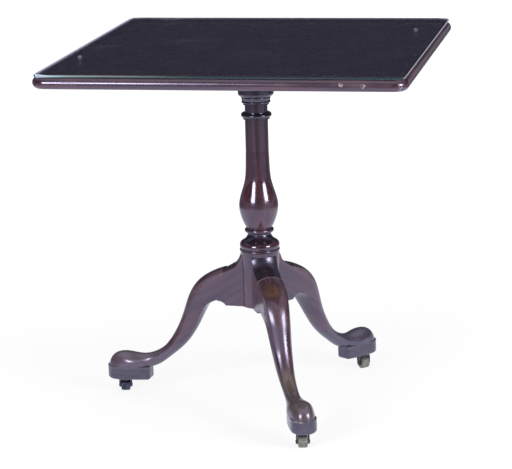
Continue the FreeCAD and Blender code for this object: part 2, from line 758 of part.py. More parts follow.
def make_foot_block(name, screws):
    """The block glued under a foot, cut square at the heel and curved round the toe."""
    toe_x = LEG_REACH + FOOT_LEDGE
    back_x = toe_x - FOOT_BLOCK_L
    half = FOOT_W / 2 + FOOT_LEDGE

    def place(u, v):
        return Vector(u, v, FOOT_BLOCK_UNDER_Z)

    heel = FOOT_BLOCK_HEEL_W / 2
    wide_x = toe_x - FOOT_BLOCK_TOE
    waist_x = (back_x + wide_x) / 2
    waist = FOOT_BLOCK_WAIST_W / 2
    outline = Outline(place, (back_x, -heel))
    outline.arc((waist_x, -waist), (wide_x, -half))
    outline.arc((toe_x, 0), (wide_x, half))
    outline.arc((waist_x, waist), (back_x, heel))
    block = outline.face().extrude(Vector(0, 0, FOOT_BLOCK_H))
    block = eased(block, FOOT_CORNER_EASE, lambda edge: edge.BoundBox.ZLength > FOOT_BLOCK_H - 0.01
                  and edge.CenterOfMass.x < waist_x)
    block = eased(block, FOOT_BLOCK_EASE, level_at(FOOT_BLOCK_UNDER_Z))
    block = turned_about_z(block, LEG_AZIMUTHS[name])
    socket = caster_place(name) + Vector(0, 0, FOOT_BLOCK_UNDER_Z)
    return block.cut(cylinder(SOCKET_D, SOCKET_L, socket)).cut(screws.blanks)


def make_caster_plate(name, screws):
    """A round plate with a socket that goes up into the foot block."""
    base = caster_place(name) + Vector(0, 0, PLATE_UNDER_Z)
    plate = cylinder(PLATE_D, PLATE_T, base).fuse(cylinder(SOCKET_D, PLATE_T + SOCKET_L, base))
    bore = cylinder(STEM_D + 2 * STEM_FIT, PLATE_T + SOCKET_L, base)
    return plate.removeSplitter().cut(bore).cut(screws.blanks)


def caster_set(shape, name):
    """Turns a caster piece, made with its wheel trailing along +X, to its heading and its foot."""
    return moved(turned_about_z(shape, CASTER_HEADINGS[name]), caster_place(name))


def axle_bar(diameter, half_length):
    start = Vector(TRAIL, -half_length, WHEEL_D / 2)
    return cylinder(diameter, 2 * half_length, start, Vector(0, 1, 0))


def horn_half_width():
    return WHEEL_W / 2 + WHEEL_SIDE_GAP + HORN_ARM_T


def make_caster_horn(name):
    """An iron horn: stem, crown, and an arm with an eye on each side of the wheel."""
    half = horn_half_width()
    arm_back = TRAIL - HORN_BACK
    arm_front = TRAIL + HORN_EYE_D / 2
    boss = CROWN_BOSS_D / 2
    crown = Part.makePolygon([
        Vector(0, -boss, CROWN_UNDER_Z),
        Vector(arm_back, -half, CROWN_UNDER_Z),
        Vector(arm_front, -half, CROWN_UNDER_Z),
        Vector(arm_front, half, CROWN_UNDER_Z),
        Vector(arm_back, half, CROWN_UNDER_Z),
        Vector(0, boss, CROWN_UNDER_Z),
        Vector(0, -boss, CROWN_UNDER_Z),
    ])
    horn = Part.Face(crown).extrude(Vector(0, 0, CROWN_T))
    horn = horn.fuse(cylinder(CROWN_BOSS_D, CROWN_T, Vector(0, 0, CROWN_UNDER_Z)))
    horn = horn.fuse(cylinder(HORN_NECK_D, HORN_NECK_H, Vector(0, 0, CROWN_TOP_Z)))
    horn = horn.fuse(cylinder(STEM_D, HORN_NECK_H + STEM_L, Vector(0, 0, CROWN_TOP_Z)))
    for side in (-1, 1):
        outer_y = side * half

        def place(u, v):
            return Vector(u, outer_y, v)

        arm = Outline(place, (arm_back, CROWN_TOP_Z))
        arm.line(TRAIL - HORN_EYE_D / 2, WHEEL_D / 2)
        arm.arc((TRAIL, WHEEL_D / 2 - HORN_EYE_D / 2), (arm_front, WHEEL_D / 2))
        arm.line(arm_front, CROWN_TOP_Z)
        horn = horn.fuse(arm.face().extrude(Vector(0, -side * HORN_ARM_T, 0)))
    return caster_set(horn.removeSplitter().cut(axle_bar(AXLE_D, half)), name)


def make_caster_axle(name):
    """A pin riveted over at both ends."""
    half = horn_half_width()
    pin = axle_bar(AXLE_D, half + AXLE_HEAD_H)
    for side in (-1, 1):
        head = cylinder(AXLE_HEAD_D, AXLE_HEAD_H, Vector(TRAIL, side * half, WHEEL_D / 2), Vector(0, side, 0))
        pin = pin.fuse(head)
    return caster_set(pin.removeSplitter(), name)


def make_caster_wheel(name):
    """A barrel-shaped brass wheel."""
    half = WHEEL_W / 2
    bore_r = AXLE_D / 2 + AXLE_FIT
    tread_r = WHEEL_D / 2
    ease = WHEEL_EDGE_R * (1 - math.sqrt(0.5))
    profile = Outline(radial_plane, (bore_r, -half))
    profile.line(tread_r - WHEEL_EDGE_R, -half)
    profile.arc((tread_r - ease, -half + ease), (tread_r, -half + WHEEL_EDGE_R))
    profile.line(tread_r, half - WHEEL_EDGE_R)
    profile.arc((tread_r - ease, half - ease), (tread_r - WHEEL_EDGE_R, half))
    profile.line(bore_r, half)
    wheel = profile.face().revolve(Vector(0, 0, 0), UP, 360)
    return caster_set(set_at(wheel, Vector(TRAIL, 0, WHEEL_D / 2), Vector(0, 1, 0)), name)


# Iron brace under the hub
def brace_screw_set():
    along = HUB_R + BRACE_SCREW_IN
    drop = Vector(0, 0, HUB_UNDER_Z - BRACE_T)
    places = [leg_direction(name) * along for name in LEG_AZIMUTHS] + [Vector(0, 0, 0)]
    return ScrewSet(BIG_HEAD_D, BIG_SHANK_D, BRACE_SCREW_L, [(place + drop, UP) for place in places])


def make_brace(screws):
    base_z = HUB_UNDER_Z - BRACE_T
    brace = cylinder(BRACE_HUB_D, BRACE_T, Vector(0, 0, base_z))
    tip_x = HUB_R + BRACKET_FLAT - BRACE_END_IN - BRACE_ARM_W / 2
    arm = box((0, tip_x), (-BRACE_ARM_W / 2, BRACE_ARM_W / 2), (base_z, HUB_UNDER_Z))
    arm = arm.fuse(cylinder(BRACE_ARM_W, BRACE_T, Vector(tip_x, 0, base_z)))
    for name in LEG_AZIMUTHS:
        brace = brace.fuse(turned_about_z(arm, LEG_AZIMUTHS[name]))
    return brace.removeSplitter().cut(screws.blanks)


def make_parts():
    batten_screws = batten_screw_set()
    latch_screws = latch_screw_set()
    strike_screws = strike_screw_set()
    brace_screws = brace_screw_set()
    parts = {
        "glass_plate": make_glass(),
        "glass_pads": make_glass_pads(),
        "tray_board": make_board().cut(batten_screws.blanks + latch_screws.blanks),
        "batten_front": make_batten(-1, batten_screws),
        "batten_back": make_batten(1, batten_screws),
        "batten_screws": batten_screws.screws,
        "latch_plate": make_latch_plate(latch_screws),
        "latch_screws": latch_screws.screws,
        "latch_bolt": make_latch_bolt(),
        "latch_knob": make_latch_knob(),
        "tilt_block": make_tilt_block(strike_screws),
        "pivot_pin_front": make_pivot_pin(-1),
        "pivot_pin_back": make_pivot_pin(1),
        "strike_plate": make_strike_plate(strike_screws),
        "strike_screws": strike_screws.screws,
        "tenon_wedge": make_tenon_wedge(),
        "pillar": make_pillar().cut(brace_screws.blanks),
        "leg_brace": make_brace(brace_screws),
        "brace_screws": brace_screws.screws,
    }
    parts.update(make_rim())
    leg = make_leg()
    for name in LEG_AZIMUTHS:
        plate_screws = plate_screw_set(name)
        parts["leg_" + name] = turned_about_z(leg, LEG_AZIMUTHS[name]).cut(brace_screws.blanks)
        parts["foot_block_" + name] = make_foot_block(name, plate_screws)
        parts["caster_plate_" + name] = make_caster_plate(name, plate_screws)
        parts["caster_screws_" + name] = plate_screws.screws
        parts["caster_horn_" + name] = make_caster_horn(name)
        parts["caster_axle_" + name] = make_caster_axle(name)
        parts["caster_wheel_" + name] = make_caster_wheel(name)
    return parts


os.makedirs("parts", exist_ok=True)
for node, shape in make_parts().items():
    shape.exportStep("parts/" + node + ".step")
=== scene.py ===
# %% [markdown]
# # A tray top tea table
# The real table is a moulded mahogany tray under a loose plate of glass. A turned pillar carries it,
# and three cabriole legs on small brass casters carry the pillar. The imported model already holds
# the solids in metres, with the floor at z = 0 and the front edge facing -Y. Blender adds the light,
# the finishes and the pieces that follow a rule, and leaves every solid where it is.

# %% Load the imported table
import bmesh
import bpy
import math
from functools import partial
from mathutils import Matrix, Vector


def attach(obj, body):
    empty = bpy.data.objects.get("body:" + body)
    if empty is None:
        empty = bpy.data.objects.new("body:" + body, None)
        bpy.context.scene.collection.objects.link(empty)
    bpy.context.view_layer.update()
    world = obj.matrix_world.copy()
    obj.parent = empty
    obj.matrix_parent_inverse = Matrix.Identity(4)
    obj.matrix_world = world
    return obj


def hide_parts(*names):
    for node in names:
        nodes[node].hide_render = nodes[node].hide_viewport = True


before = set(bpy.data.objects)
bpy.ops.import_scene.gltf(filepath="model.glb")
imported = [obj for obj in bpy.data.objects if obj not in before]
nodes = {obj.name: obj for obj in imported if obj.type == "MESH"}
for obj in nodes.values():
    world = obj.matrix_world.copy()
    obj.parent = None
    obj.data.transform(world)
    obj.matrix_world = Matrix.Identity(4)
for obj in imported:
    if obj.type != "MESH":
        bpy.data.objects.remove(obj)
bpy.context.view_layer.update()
scene = bpy.context.scene
UPWARDS = Vector((0.0, 0.0, 1.0))


def in_scene(name, data):
    made = bpy.data.objects.new(name, data)
    scene.collection.objects.link(made)
    return made


def bearing(degrees):
    """The level direction at an angle round from +X, as x and y."""
    return math.cos(math.radians(degrees)), math.sin(math.radians(degrees))


# %% [markdown]
# ## Camera
# The photo was taken from a little to the right of the front and from above, with a long lens, so
# the edges of the top hardly converge. A camera can be aimed with a constraint, but the photo is
# also turned by a degree or so, and a matrix built from three directions holds all of it at once.

# %% Camera at the photo's place
PHOTO_W = 512
FOCAL_PX = 2180.5
SENSOR_MM = 36.0
DISTANCE = 4.298
AIM_Z, AIM_SHIFT = 0.3422, 0.0068
yaw, pitch, roll = (math.radians(angle) for angle in (11.492, 13.703, -1.537))

forward = Vector((-math.sin(yaw) * math.cos(pitch), math.cos(yaw) * math.cos(pitch), -math.sin(pitch)))
level = Vector((math.cos(yaw), math.sin(yaw), 0.0))
upright = level.cross(forward)
right = math.cos(roll) * level + math.sin(roll) * upright
up = math.cos(roll) * upright - math.sin(roll) * level
eye = Vector((0.0, 0.0, AIM_Z)) - AIM_SHIFT * level - DISTANCE * forward

camera_data = bpy.data.cameras.new("photo_camera")
camera_data.sensor_fit = "HORIZONTAL"
camera_data.sensor_width = SENSOR_MM
camera_data.lens = SENSOR_MM * FOCAL_PX / PHOTO_W
scene.camera = in_scene("photo_camera", camera_data)
scene.camera.matrix_world = Matrix.LocRotScale(eye, Matrix((right, up, -forward)).transposed(), None)
print("camera at", tuple(round(value, 3) for value in eye), "lens", round(camera_data.lens, 1))

# %% [markdown]
# ## A short way to write nodes
# Finishes and repeated pieces below are node trees. Adding nodes one by one in Python is long, so one
# helper adds a node, sets its options and fills its inputs, and a few more name the sums that come up
# often. An input is either a plain value or the output of another node, and then it is linked. An
# output knows its tree, so only a node without links has to be told where it belongs. Colours are
# written as red, green and blue.

# %% Node helpers
def tree_of(*values):
    """The tree of the first output among the values."""
    return next(value.id_data for value in values if isinstance(value, bpy.types.NodeSocket))


def put(kind, inputs=None, tree=None, **options):
    """Adds a node, sets its options, and fills or links its inputs."""
    inputs = inputs or {}
    made = (tree_of(*inputs.values()) if tree is None else tree).nodes.new(kind)
    for option, value in options.items():
        setattr(made, option, value)
    for name, value in inputs.items():
        socket = made.inputs[name]
        if isinstance(value, bpy.types.NodeSocket):
            value.id_data.links.new(value, socket)
        else:
            socket.default_value = (*value, 1.0) if socket.type == "RGBA" else value
    return made


def calc(operation, first, second=0.0, clamp=False):
    return put("ShaderNodeMath", {0: first, 1: second}, operation=operation, use_clamp=clamp).outputs[0]


plus, minus = partial(calc, "ADD"), partial(calc, "SUBTRACT")
largest, absolute = partial(calc, "MAXIMUM"), partial(calc, "ABSOLUTE")


def times(first, *others):
    for other in others:
        first = calc("MULTIPLY", first, other)
    return first


def raised(value, mask, by):
    return plus(value, times(mask, by))


def lowered(value, mask, by):
    """Takes a share off a value where the mask is one."""
    return times(value, minus(1.0, times(mask, by)))


def blend(share, first, second):
    """Mixes two colours; share 0 gives the first one."""
    return put("ShaderNodeMix", {0: share, 6: first, 7: second}, data_type="RGBA").outputs[2]


def span(value, low, high, to_low=0.0, to_high=1.0):
    """Maps low..high to to_low..to_high with soft ends."""
    inputs = {"Value": value, "From Min": low, "From Max": high, "To Min": to_low, "To Max": to_high}
    return put("ShaderNodeMapRange", inputs, interpolation_type="SMOOTHSTEP").outputs["Result"]


def between(value, low, high, soft):
    """One from low to high, with both ends softened."""
    return times(span(value, low - soft, low + soft), span(value, high + soft, high - soft))


def noise(vector, scale, detail=3.0, rough=0.5, bend=0.0):
    inputs = {"Vector": vector, "Scale": scale, "Detail": detail, "Roughness": rough, "Distortion": bend}
    return put("ShaderNodeTexNoise", inputs).outputs["Fac"]


def stretched(vector, scale):
    return put("ShaderNodeMapping", {"Vector": vector, "Scale": scale}).outputs["Vector"]


def parts_of(vector):
    split = put("ShaderNodeSeparateXYZ", {0: vector}).outputs
    return split["X"], split["Y"], split["Z"]


def vector_of(x=0.0, y=0.0, z=0.0):
    return put("ShaderNodeCombineXYZ", {0: x, 1: y, 2: z}).outputs[0]


def measure(operation, first, second=(0.0, 0.0, 0.0)):
    """A number from one or two vectors."""
    return put("ShaderNodeVectorMath", {0: first, 1: second}, operation=operation).outputs["Value"]


def near(vector, centre, radius):
    """One at a place, and zero from radius outwards."""
    return span(measure("DISTANCE", vector, centre), radius, 0.35 * radius)


print("node helpers ready")

# %% Material helpers
def new_material(name):
    """An empty material, with the place and the facing of each point on it."""
    material = bpy.data.materials.new(name)
    material.use_nodes = True
    material.node_tree.nodes.clear()
    place = put("ShaderNodeTexCoord", tree=material.node_tree).outputs
    return material, place["Object"], place["Normal"]


def surface(shader, volume=None):
    links = {"Surface": shader.outputs[0]}
    if volume:
        links["Volume"] = volume.outputs[0]
    put("ShaderNodeOutputMaterial", links)


def principled(inputs, volume=None):
    surface(put("ShaderNodeBsdfPrincipled", inputs), volume)


def bumped(height, strength, distance):
    inputs = {"Height": height, "Strength": strength, "Distance": distance}
    return put("ShaderNodeBump", inputs).outputs[0]


def dress(material, *names):
    for name in names:
        nodes[name].data.materials.clear()
        nodes[name].data.materials.append(material)


print("material helpers ready")

# %% [markdown]
# ## Floor and studio light
# The photo has a white ground and no visible wall. Two soft boxes stand in front, left and right,
# which is where the two bright streaks on the pillar's bulb come from. The polish and the glass lie
# so flat to the eye in places that they work as mirrors of what is far behind the table, and there
# they show a dim bluish room. So the room is dark just above the horizon and brighter overhead. The
# floor is a pale diffuse plane that keeps the table's shadow. For the camera it glows up to plain
# white. In reflections it shows painted light: it is pale round the table and under the lamps, and
# falls off into the room.

# %% Floor
WHITE = (1.0, 1.0, 1.0)
LIT_NEAR_FLOOR = (0.80, 0.84, 0.98)
LIT_FLOOR = (0.35, 0.31, 0.36)
ROOM_FLOOR = (0.07, 0.07, 0.11)
MATT_GREY, THIN_GREY = (0.8, 0.8, 0.8), (0.2, 0.2, 0.2)
LAMP_SIDES = [((-0.690, -0.724, 0.0), 0.5), ((0.902, -0.432, 0.0), 1.0)]
LAMP_SPREAD = (0.70, 0.97)
PALE_UP_TO = (1.2, 1.9)
SHADOW_REACH, SHADOW_GLOW = (0.5, 2.2), 0.86
FLOOR_HALF = 60.0


def ray_share(tree, *kinds):
    """One for rays of the named kinds, else zero."""
    rays = put("ShaderNodeLightPath", tree=tree).outputs
    total = rays[kinds[0]]
    for kind in kinds[1:]:
        total = largest(total, rays[kind])
    return total


def mirrored_share(tree):
    """One for rays that a polished surface has thrown back, zero for those straight through glass."""
    return calc("MINIMUM", put("ShaderNodeLightPath", tree=tree).outputs["Glossy Depth"], 1.0)


floor_mesh = bpy.data.meshes.new("studio_floor")
floor_corners = [(x * FLOOR_HALF, y * FLOOR_HALF, 0.0) for x, y in ((-1, -1), (1, -1), (1, 1), (-1, 1))]
floor_mesh.from_pydata(floor_corners, [], [(0, 1, 2, 3)])
studio_floor = in_scene("studio_floor", floor_mesh)

pale_floor, spot, _ = new_material("pale_floor")
tree = pale_floor.node_tree
from_table = measure("LENGTH", spot)
outward = put("ShaderNodeVectorMath", {0: spot}, operation="NORMALIZE").outputs[0]
# Painted light, seen only in reflections: the floor glows pale round the table and under each lamp, and
# dim further off.
lamp_lit = 0.0
for side, share in LAMP_SIDES:
    lamp_lit = largest(lamp_lit, span(measure("DOT_PRODUCT", outward, side), *LAMP_SPREAD, 0.0, share))
far_floor = blend(lamp_lit, ROOM_FLOOR, LIT_FLOOR)
mirrored = blend(span(from_table, *PALE_UP_TO), LIT_NEAR_FLOOR, far_floor)
glow = put("ShaderNodeEmission", {"Color": blend(mirrored_share(tree), WHITE, mirrored),
                                  "Strength": span(from_table, *SHADOW_REACH, SHADOW_GLOW, 1.0)})
matt = put("ShaderNodeBsdfDiffuse", {"Color": MATT_GREY}, tree)
thin = put("ShaderNodeBsdfDiffuse", {"Color": THIN_GREY}, tree)
lit = put("ShaderNodeAddShader", {0: glow.outputs[0], 1: thin.outputs[0]})
seen = ray_share(tree, "Is Camera Ray", "Is Glossy Ray", "Is Transmission Ray")
surface(put("ShaderNodeMixShader", {0: seen, 1: matt.outputs[0], 2: lit.outputs[0]}))
floor_mesh.materials.append(pale_floor)
print("floor", 2 * FLOOR_HALF, "m across")

# %% Soft boxes
LAMP_WIDTH, LAMP_HEIGHT = 1.05, 0.78
LAMP_COLOUR = (0.97, 0.97, 1.0)
LAMP_AIM = Vector((0.0, 0.0, 0.5))


def soft_box(name, where, brightness):
    """An area lamp that faces the table; brightness is the glow of its face."""
    data = bpy.data.lights.new(name, "AREA")
    data.shape = "RECTANGLE"
    data.size, data.size_y = LAMP_WIDTH, LAMP_HEIGHT
    data.energy = math.pi * LAMP_WIDTH * LAMP_HEIGHT * brightness
    data.color = LAMP_COLOUR
    lamp = in_scene(name, data)
    towards = LAMP_AIM - Vector(where)
    lamp.matrix_world = Matrix.LocRotScale(Vector(where), towards.to_track_quat("-Z", "Y"), None)
    lamp.visible_camera = False
    return lamp


soft_boxes = [soft_box("left_soft_box", (-1.25, -2.83, 1.36), 19.0),
              soft_box("right_soft_box", (2.52, -1.28, 1.36), 18.0)]
print("soft boxes", [round(lamp.data.energy) for lamp in soft_boxes], "W")

# %% Room
ROOM_STOPS = [(0.0, (0.30, 0.29, 0.34)), (0.075, (0.26, 0.25, 0.31)), (0.115, (0.036, 0.033, 0.054)),
              (0.32, (0.045, 0.042, 0.066)), (0.60, (0.20, 0.20, 0.24)), (1.0, (0.32, 0.32, 0.36))]

room = bpy.data.worlds.new("studio_room")
room.use_nodes = True
scene.world = room
tree = room.node_tree
tree.nodes.clear()
height = parts_of(put("ShaderNodeTexCoord", tree=tree).outputs["Generated"])[2]
sky = put("ShaderNodeValToRGB", {"Fac": height})
stops = sky.color_ramp.elements
for level, colour in ROOM_STOPS:
    stops.new(level).color = (*colour, 1.0)
stops.remove(stops[0])
stops.remove(stops[-1])
direct = ray_share(tree, "Is Camera Ray", "Is Transmission Ray")
direct = times(direct, minus(1.0, mirrored_share(tree)))
backdrop = put("ShaderNodeBackground", {"Color": blend(direct, sky.outputs["Color"], WHITE)})
put("ShaderNodeOutputWorld", {"Surface": backdrop.outputs[0]})
scene.view_settings.view_transform = "Standard"
print("room light set")

# %% [markdown]
# ## Shared effects for the finishes
# Several pieces share the same wood, the same chipped edges and the same tarnish. A node group holds
# each effect once, with named inputs, and every finish places it with its own values. The groups put
# out only colours, masks and heights, and the shader itself stays in the material.

# %% Group maker
VECTOR, COLOUR, NUMBER, WHOLE = ("NodeSocket" + kind for kind in ("Vector", "Color", "Float", "Int"))
GEOMETRY, MATERIAL = "NodeSocketGeometry", "NodeSocketMaterial"


def new_group(name, kind, inputs, outputs):
    """An empty node group with named sockets. An input is a kind of socket, or a number as its default.

    Returns the tree, what it is given and where its result goes.
    """
    group = bpy.data.node_groups.new(name, kind)
    for socket, value in inputs.items():
        socket_kind = {int: WHOLE, float: NUMBER}.get(type(value), value)
        made = group.interface.new_socket(name=socket, in_out="INPUT", socket_type=socket_kind)
        if socket_kind != value:
            made.default_value = value
    for socket, socket_kind in outputs.items():
        group.interface.new_socket(name=socket, in_out="OUTPUT", socket_type=socket_kind)
    print("group", name)
    return group, put("NodeGroupInput", tree=group).outputs, put("NodeGroupOutput", tree=group).inputs


def give(sockets, values):
    for socket, value in values.items():
        value.id_data.links.new(value, sockets[socket])


def use(effect, inputs):
    return put("ShaderNodeGroup", inputs, node_tree=effect).outputs


print("group maker ready")

# %% Wood figure
PORE_DARK = (0.008, 0.005, 0.005)
figure, given, result = new_group(
    "wood_figure", "ShaderNodeTree",
    {"Vector": VECTOR, "Dark": COLOUR, "Body": COLOUR, "Warm": COLOUR, "Warmth": 0.5},
    {"Color": COLOUR, "Height": NUMBER, "Cloud": NUMBER})
along = stretched(given["Vector"], (1.0, 1.0, 0.06))
fibres = stretched(given["Vector"], (1.0, 1.0, 0.02))
bands = noise(along, 52.0, 5.0, 0.6, 0.5)
streaks = noise(along, 210.0, 3.0, 0.55)
pores = span(noise(fibres, 1300.0, 2.0), 0.57, 0.68)
clouds = noise(given["Vector"], 13.0, 3.0, 0.55)
ground = blend(span(bands, 0.34, 0.66), given["Dark"], given["Body"])
ground = blend(times(span(clouds, 0.46, 0.72), given["Warmth"]), ground, given["Warm"])
ground = blend(span(streaks, 0.35, 0.62, 0.4, 0.0), ground, given["Dark"])
ground = blend(times(pores, 0.5), ground, PORE_DARK)
lift = minus(times(streaks, 0.35), times(pores, 0.65))
give(result, {"Color": ground, "Height": lift, "Cloud": clouds})


def figured(vector, tones, warmth):
    dark, body, warm = tones
    return use(figure, {"Vector": vector, "Dark": dark, "Body": body, "Warm": warm, "Warmth": warmth})


# %% Chips and dust
chips, given, result = new_group(
    "chipped_varnish", "ShaderNodeTree",
    {"Vector": VECTOR, "Size": 200.0, "Where": 0.0}, {"Mask": NUMBER})
flakes = noise(given["Vector"], given["Size"], 4.0, 0.65)
give(result, {"Mask": span(raised(flakes, given["Where"], 0.36), 0.80, 0.86)})

dust, given, result = new_group(
    "settled_dust", "ShaderNodeTree",
    {"Vector": VECTOR, "Normal": VECTOR, "Amount": 0.2}, {"Mask": NUMBER})
facing_up = span(parts_of(given["Normal"])[2], 0.2, 0.95)
specks = span(noise(given["Vector"], 60.0, 6.0, 0.7), 0.35, 0.75)
give(result, {"Mask": times(facing_up, specks, given["Amount"])})

# %% Tarnish
PIT_DARK = (0.02, 0.02, 0.02)
tarnish, given, result = new_group(
    "metal_tarnish", "ShaderNodeTree",
    {"Vector": VECTOR, "Bright": COLOUR, "Dull": COLOUR, "Amount": 0.5},
    {"Color": COLOUR, "Roughness": NUMBER, "Height": NUMBER})
blotch = noise(given["Vector"], 260.0, 5.0, 0.65)
pits = noise(given["Vector"], 1500.0, 3.0, 0.6)
skin = blend(times(span(blotch, 0.3, 0.65), given["Amount"]), given["Bright"], given["Dull"])
skin = blend(span(pits, 0.58, 0.78, 0.0, 0.35), skin, PIT_DARK)
rough = span(blotch, 0.25, 0.75, 0.26, 0.58)
give(result, {"Color": skin, "Roughness": rough, "Height": minus(blotch, pits)})

# %% [markdown]
# ## Varnished mahogany
# The wood is almost black with a red body, and old polish gives it a hard gloss. What makes it read
# as wood is that the grain runs along each piece: up the pillar, along each moulding, and down each
# leg. One function makes the finish for a given grain direction. A Mapping node turns that direction
# to the vertical, which is the direction the wood figure is drawn along. The polish mirrors the room
# with a faint violet cast, so the shader's own gloss is tinted a little, and a thin clear coat on top
# of it keeps the lamps sharp and white. The hollows of the turning get painted shade, so there the
# wood is nearly black, and painted shade also darkens the pillar from the upper shaft up to the neck.

# %% Mahogany
RED_TONES = ((0.034, 0.012, 0.016), (0.112, 0.038, 0.045), (0.140, 0.058, 0.040))
# The near black of painted shade, used in the pillar's hollows and in the hollow above each knee.
PAINTED_SHADE = (0.008, 0.008, 0.014)
# Pale bare wood where varnish is chipped off; the same pale also makes the painted highlight along each
# knee's lip.
BARE_WOOD_AND_LIP_HIGHLIGHT = (0.36, 0.31, 0.29)
DUST_GREY = (0.30, 0.28, 0.30)
COAT = 0.35
POLISH = {"Coat Roughness": 0.07, "Coat IOR": 1.5, "IOR": 1.62, "Specular IOR Level": 1.0,
          "Specular Tint": (0.73, 0.69, 0.97)}


def grain_along(direction, shift):
    """A maker of object coordinates turned so that the grain direction points up."""
    turn = Vector(direction).rotation_difference(UPWARDS).to_euler()

    def vector(spot):
        inputs = {"Vector": spot, "Rotation": turn, "Location": (shift, 0.7 * shift, 0.0)}
        return put("ShaderNodeMapping", inputs).outputs["Vector"]

    return vector


def varnished_wood(name, grain, warmth, dusty, tones=RED_TONES, extra=None, sheen=(0.20, 0.34),
                   ridges=0.03):
    """Glossy mahogany; extra may change the colour, the roughness and the coat of one piece."""
    material, spot, normal = new_material(name)
    wood = figured(grain(spot), tones, warmth)
    settled = use(dust, {"Vector": spot, "Normal": normal, "Amount": dusty})["Mask"]
    colour = blend(settled, wood["Color"], DUST_GREY)
    rough = raised(span(wood["Cloud"], 0.3, 0.75, *sheen), settled, 0.5)
    coat = span(settled, 0.0, 0.4, COAT, 0.0)
    if extra:
        colour, rough, coat = extra(spot, normal, colour, rough, coat)
    principled({**POLISH, "Base Color": colour, "Roughness": rough, "Coat Weight": coat,
                "Normal": bumped(wood["Height"], ridges, 0.0004)})
    return material


def laid_bare(lost, colour, rough):
    """Bare wood, rough and without a coat, where the varnish is lost."""
    return blend(lost, colour, BARE_WOOD_AND_LIP_HIGHLIGHT), raised(rough, lost, 0.3), span(lost, 0.0, 0.3, COAT, 0.0)


print("mahogany finish ready")

# %% Pillar
# Painted shade: height bands of the turning, each with its low, high and share, are darkened towards
# near black.
SHADE_BANDS = [(0.602, 0.6115, 0.85), (0.6165, 0.620, 0.8), (0.6255, 0.650, 0.8), (0.5785, 0.589, 0.85),
           (0.574, 0.5765, 0.7), (0.3475, 0.3515, 0.8), (0.3555, 0.3585, 0.7), (0.330, 0.347, 0.85),
           (0.3155, 0.3172, 0.9)]
SHADE_BAND_SOFT = 0.0012
NECK_SHADE = (0.50, 0.59)


def painted_shade_bands(spot, normal, colour, rough, coat):
    z = parts_of(spot)[2]
    # Painted shade: the pillar darkens towards the top, from the upper shaft to the neck under the tray.
    colour = blend(span(z, *NECK_SHADE, 0.0, 0.5), colour, PAINTED_SHADE)
    for low, high, share in SHADE_BANDS:
        colour = blend(times(between(z, low, high, SHADE_BAND_SOFT), share), colour, PAINTED_SHADE)
    return colour, rough, coat


dress(varnished_wood("mahogany_pillar", grain_along(UPWARDS, 0.31), 0.25, 0.08, extra=painted_shade_bands,
                     sheen=(0.12, 0.22)), "pillar")
print("pillar dressed")

# %% [markdown]
# ## Legs and foot blocks
# Each leg is sawn from a plank, so its grain runs in one straight line from the hub to the foot, and
# not round the curves. The front leg has been rubbed to a warmer brown at the knee and the ankle, with
# a dull stretch between them where its polish is lost on the left, also painted darker as shade. The
# hollow above each knee's lip gets painted shade, and the lip itself a painted pale highlight. The feet
# are scuffed by shoes and brooms, so they are duller and greyer than the knees. The blocks under the
# feet are separate pieces with level grain, and the front one has lost flakes of varnish along its top
# edge.

# %% Leg finishes
LEG_TONES = ((0.040, 0.016, 0.021), (0.126, 0.053, 0.064), (0.145, 0.066, 0.052))
BLOCK_TONES = ((0.026, 0.018, 0.028), (0.078, 0.058, 0.074), (0.110, 0.080, 0.085))
KNEE_AT, KNEE_RADIUS, KNEE_BROWN = (0.0425, -0.1035, 0.2565), 0.024, (0.20, 0.10, 0.035)
ANKLE_AT, ANKLE_RADIUS, ANKLE_BROWN = (0.0868, -0.1878, 0.101), 0.030, (0.16, 0.12, 0.06)
# The dull stretch on the front leg: its roughness and coat are real lost polish, its darker tone is
# painted shade.
DULL_LOW, DULL_HIGH, DULL_SOFT, DULL_SHADE_TONE = 0.149, 0.199, 0.009, (0.040, 0.028, 0.044)
SCUFFED_Z = (0.135, 0.085)
LIP_AT, LIP_Z = 0.0735, 0.2612
BLOCK_TOP = 0.0582
FLAKED_AT, FLAKED_RADIUS, FLAKED_ELSEWHERE = (0.1235, -0.2965, 0.0575), 0.012, 0.15


def rubbed_at(centre, radius, spot, share, colour, tone):
    patch = span(noise(spot, 55.0, 4.0, 0.6), 0.3, 0.62)
    return blend(times(near(spot, centre, radius), patch, share), colour, tone)


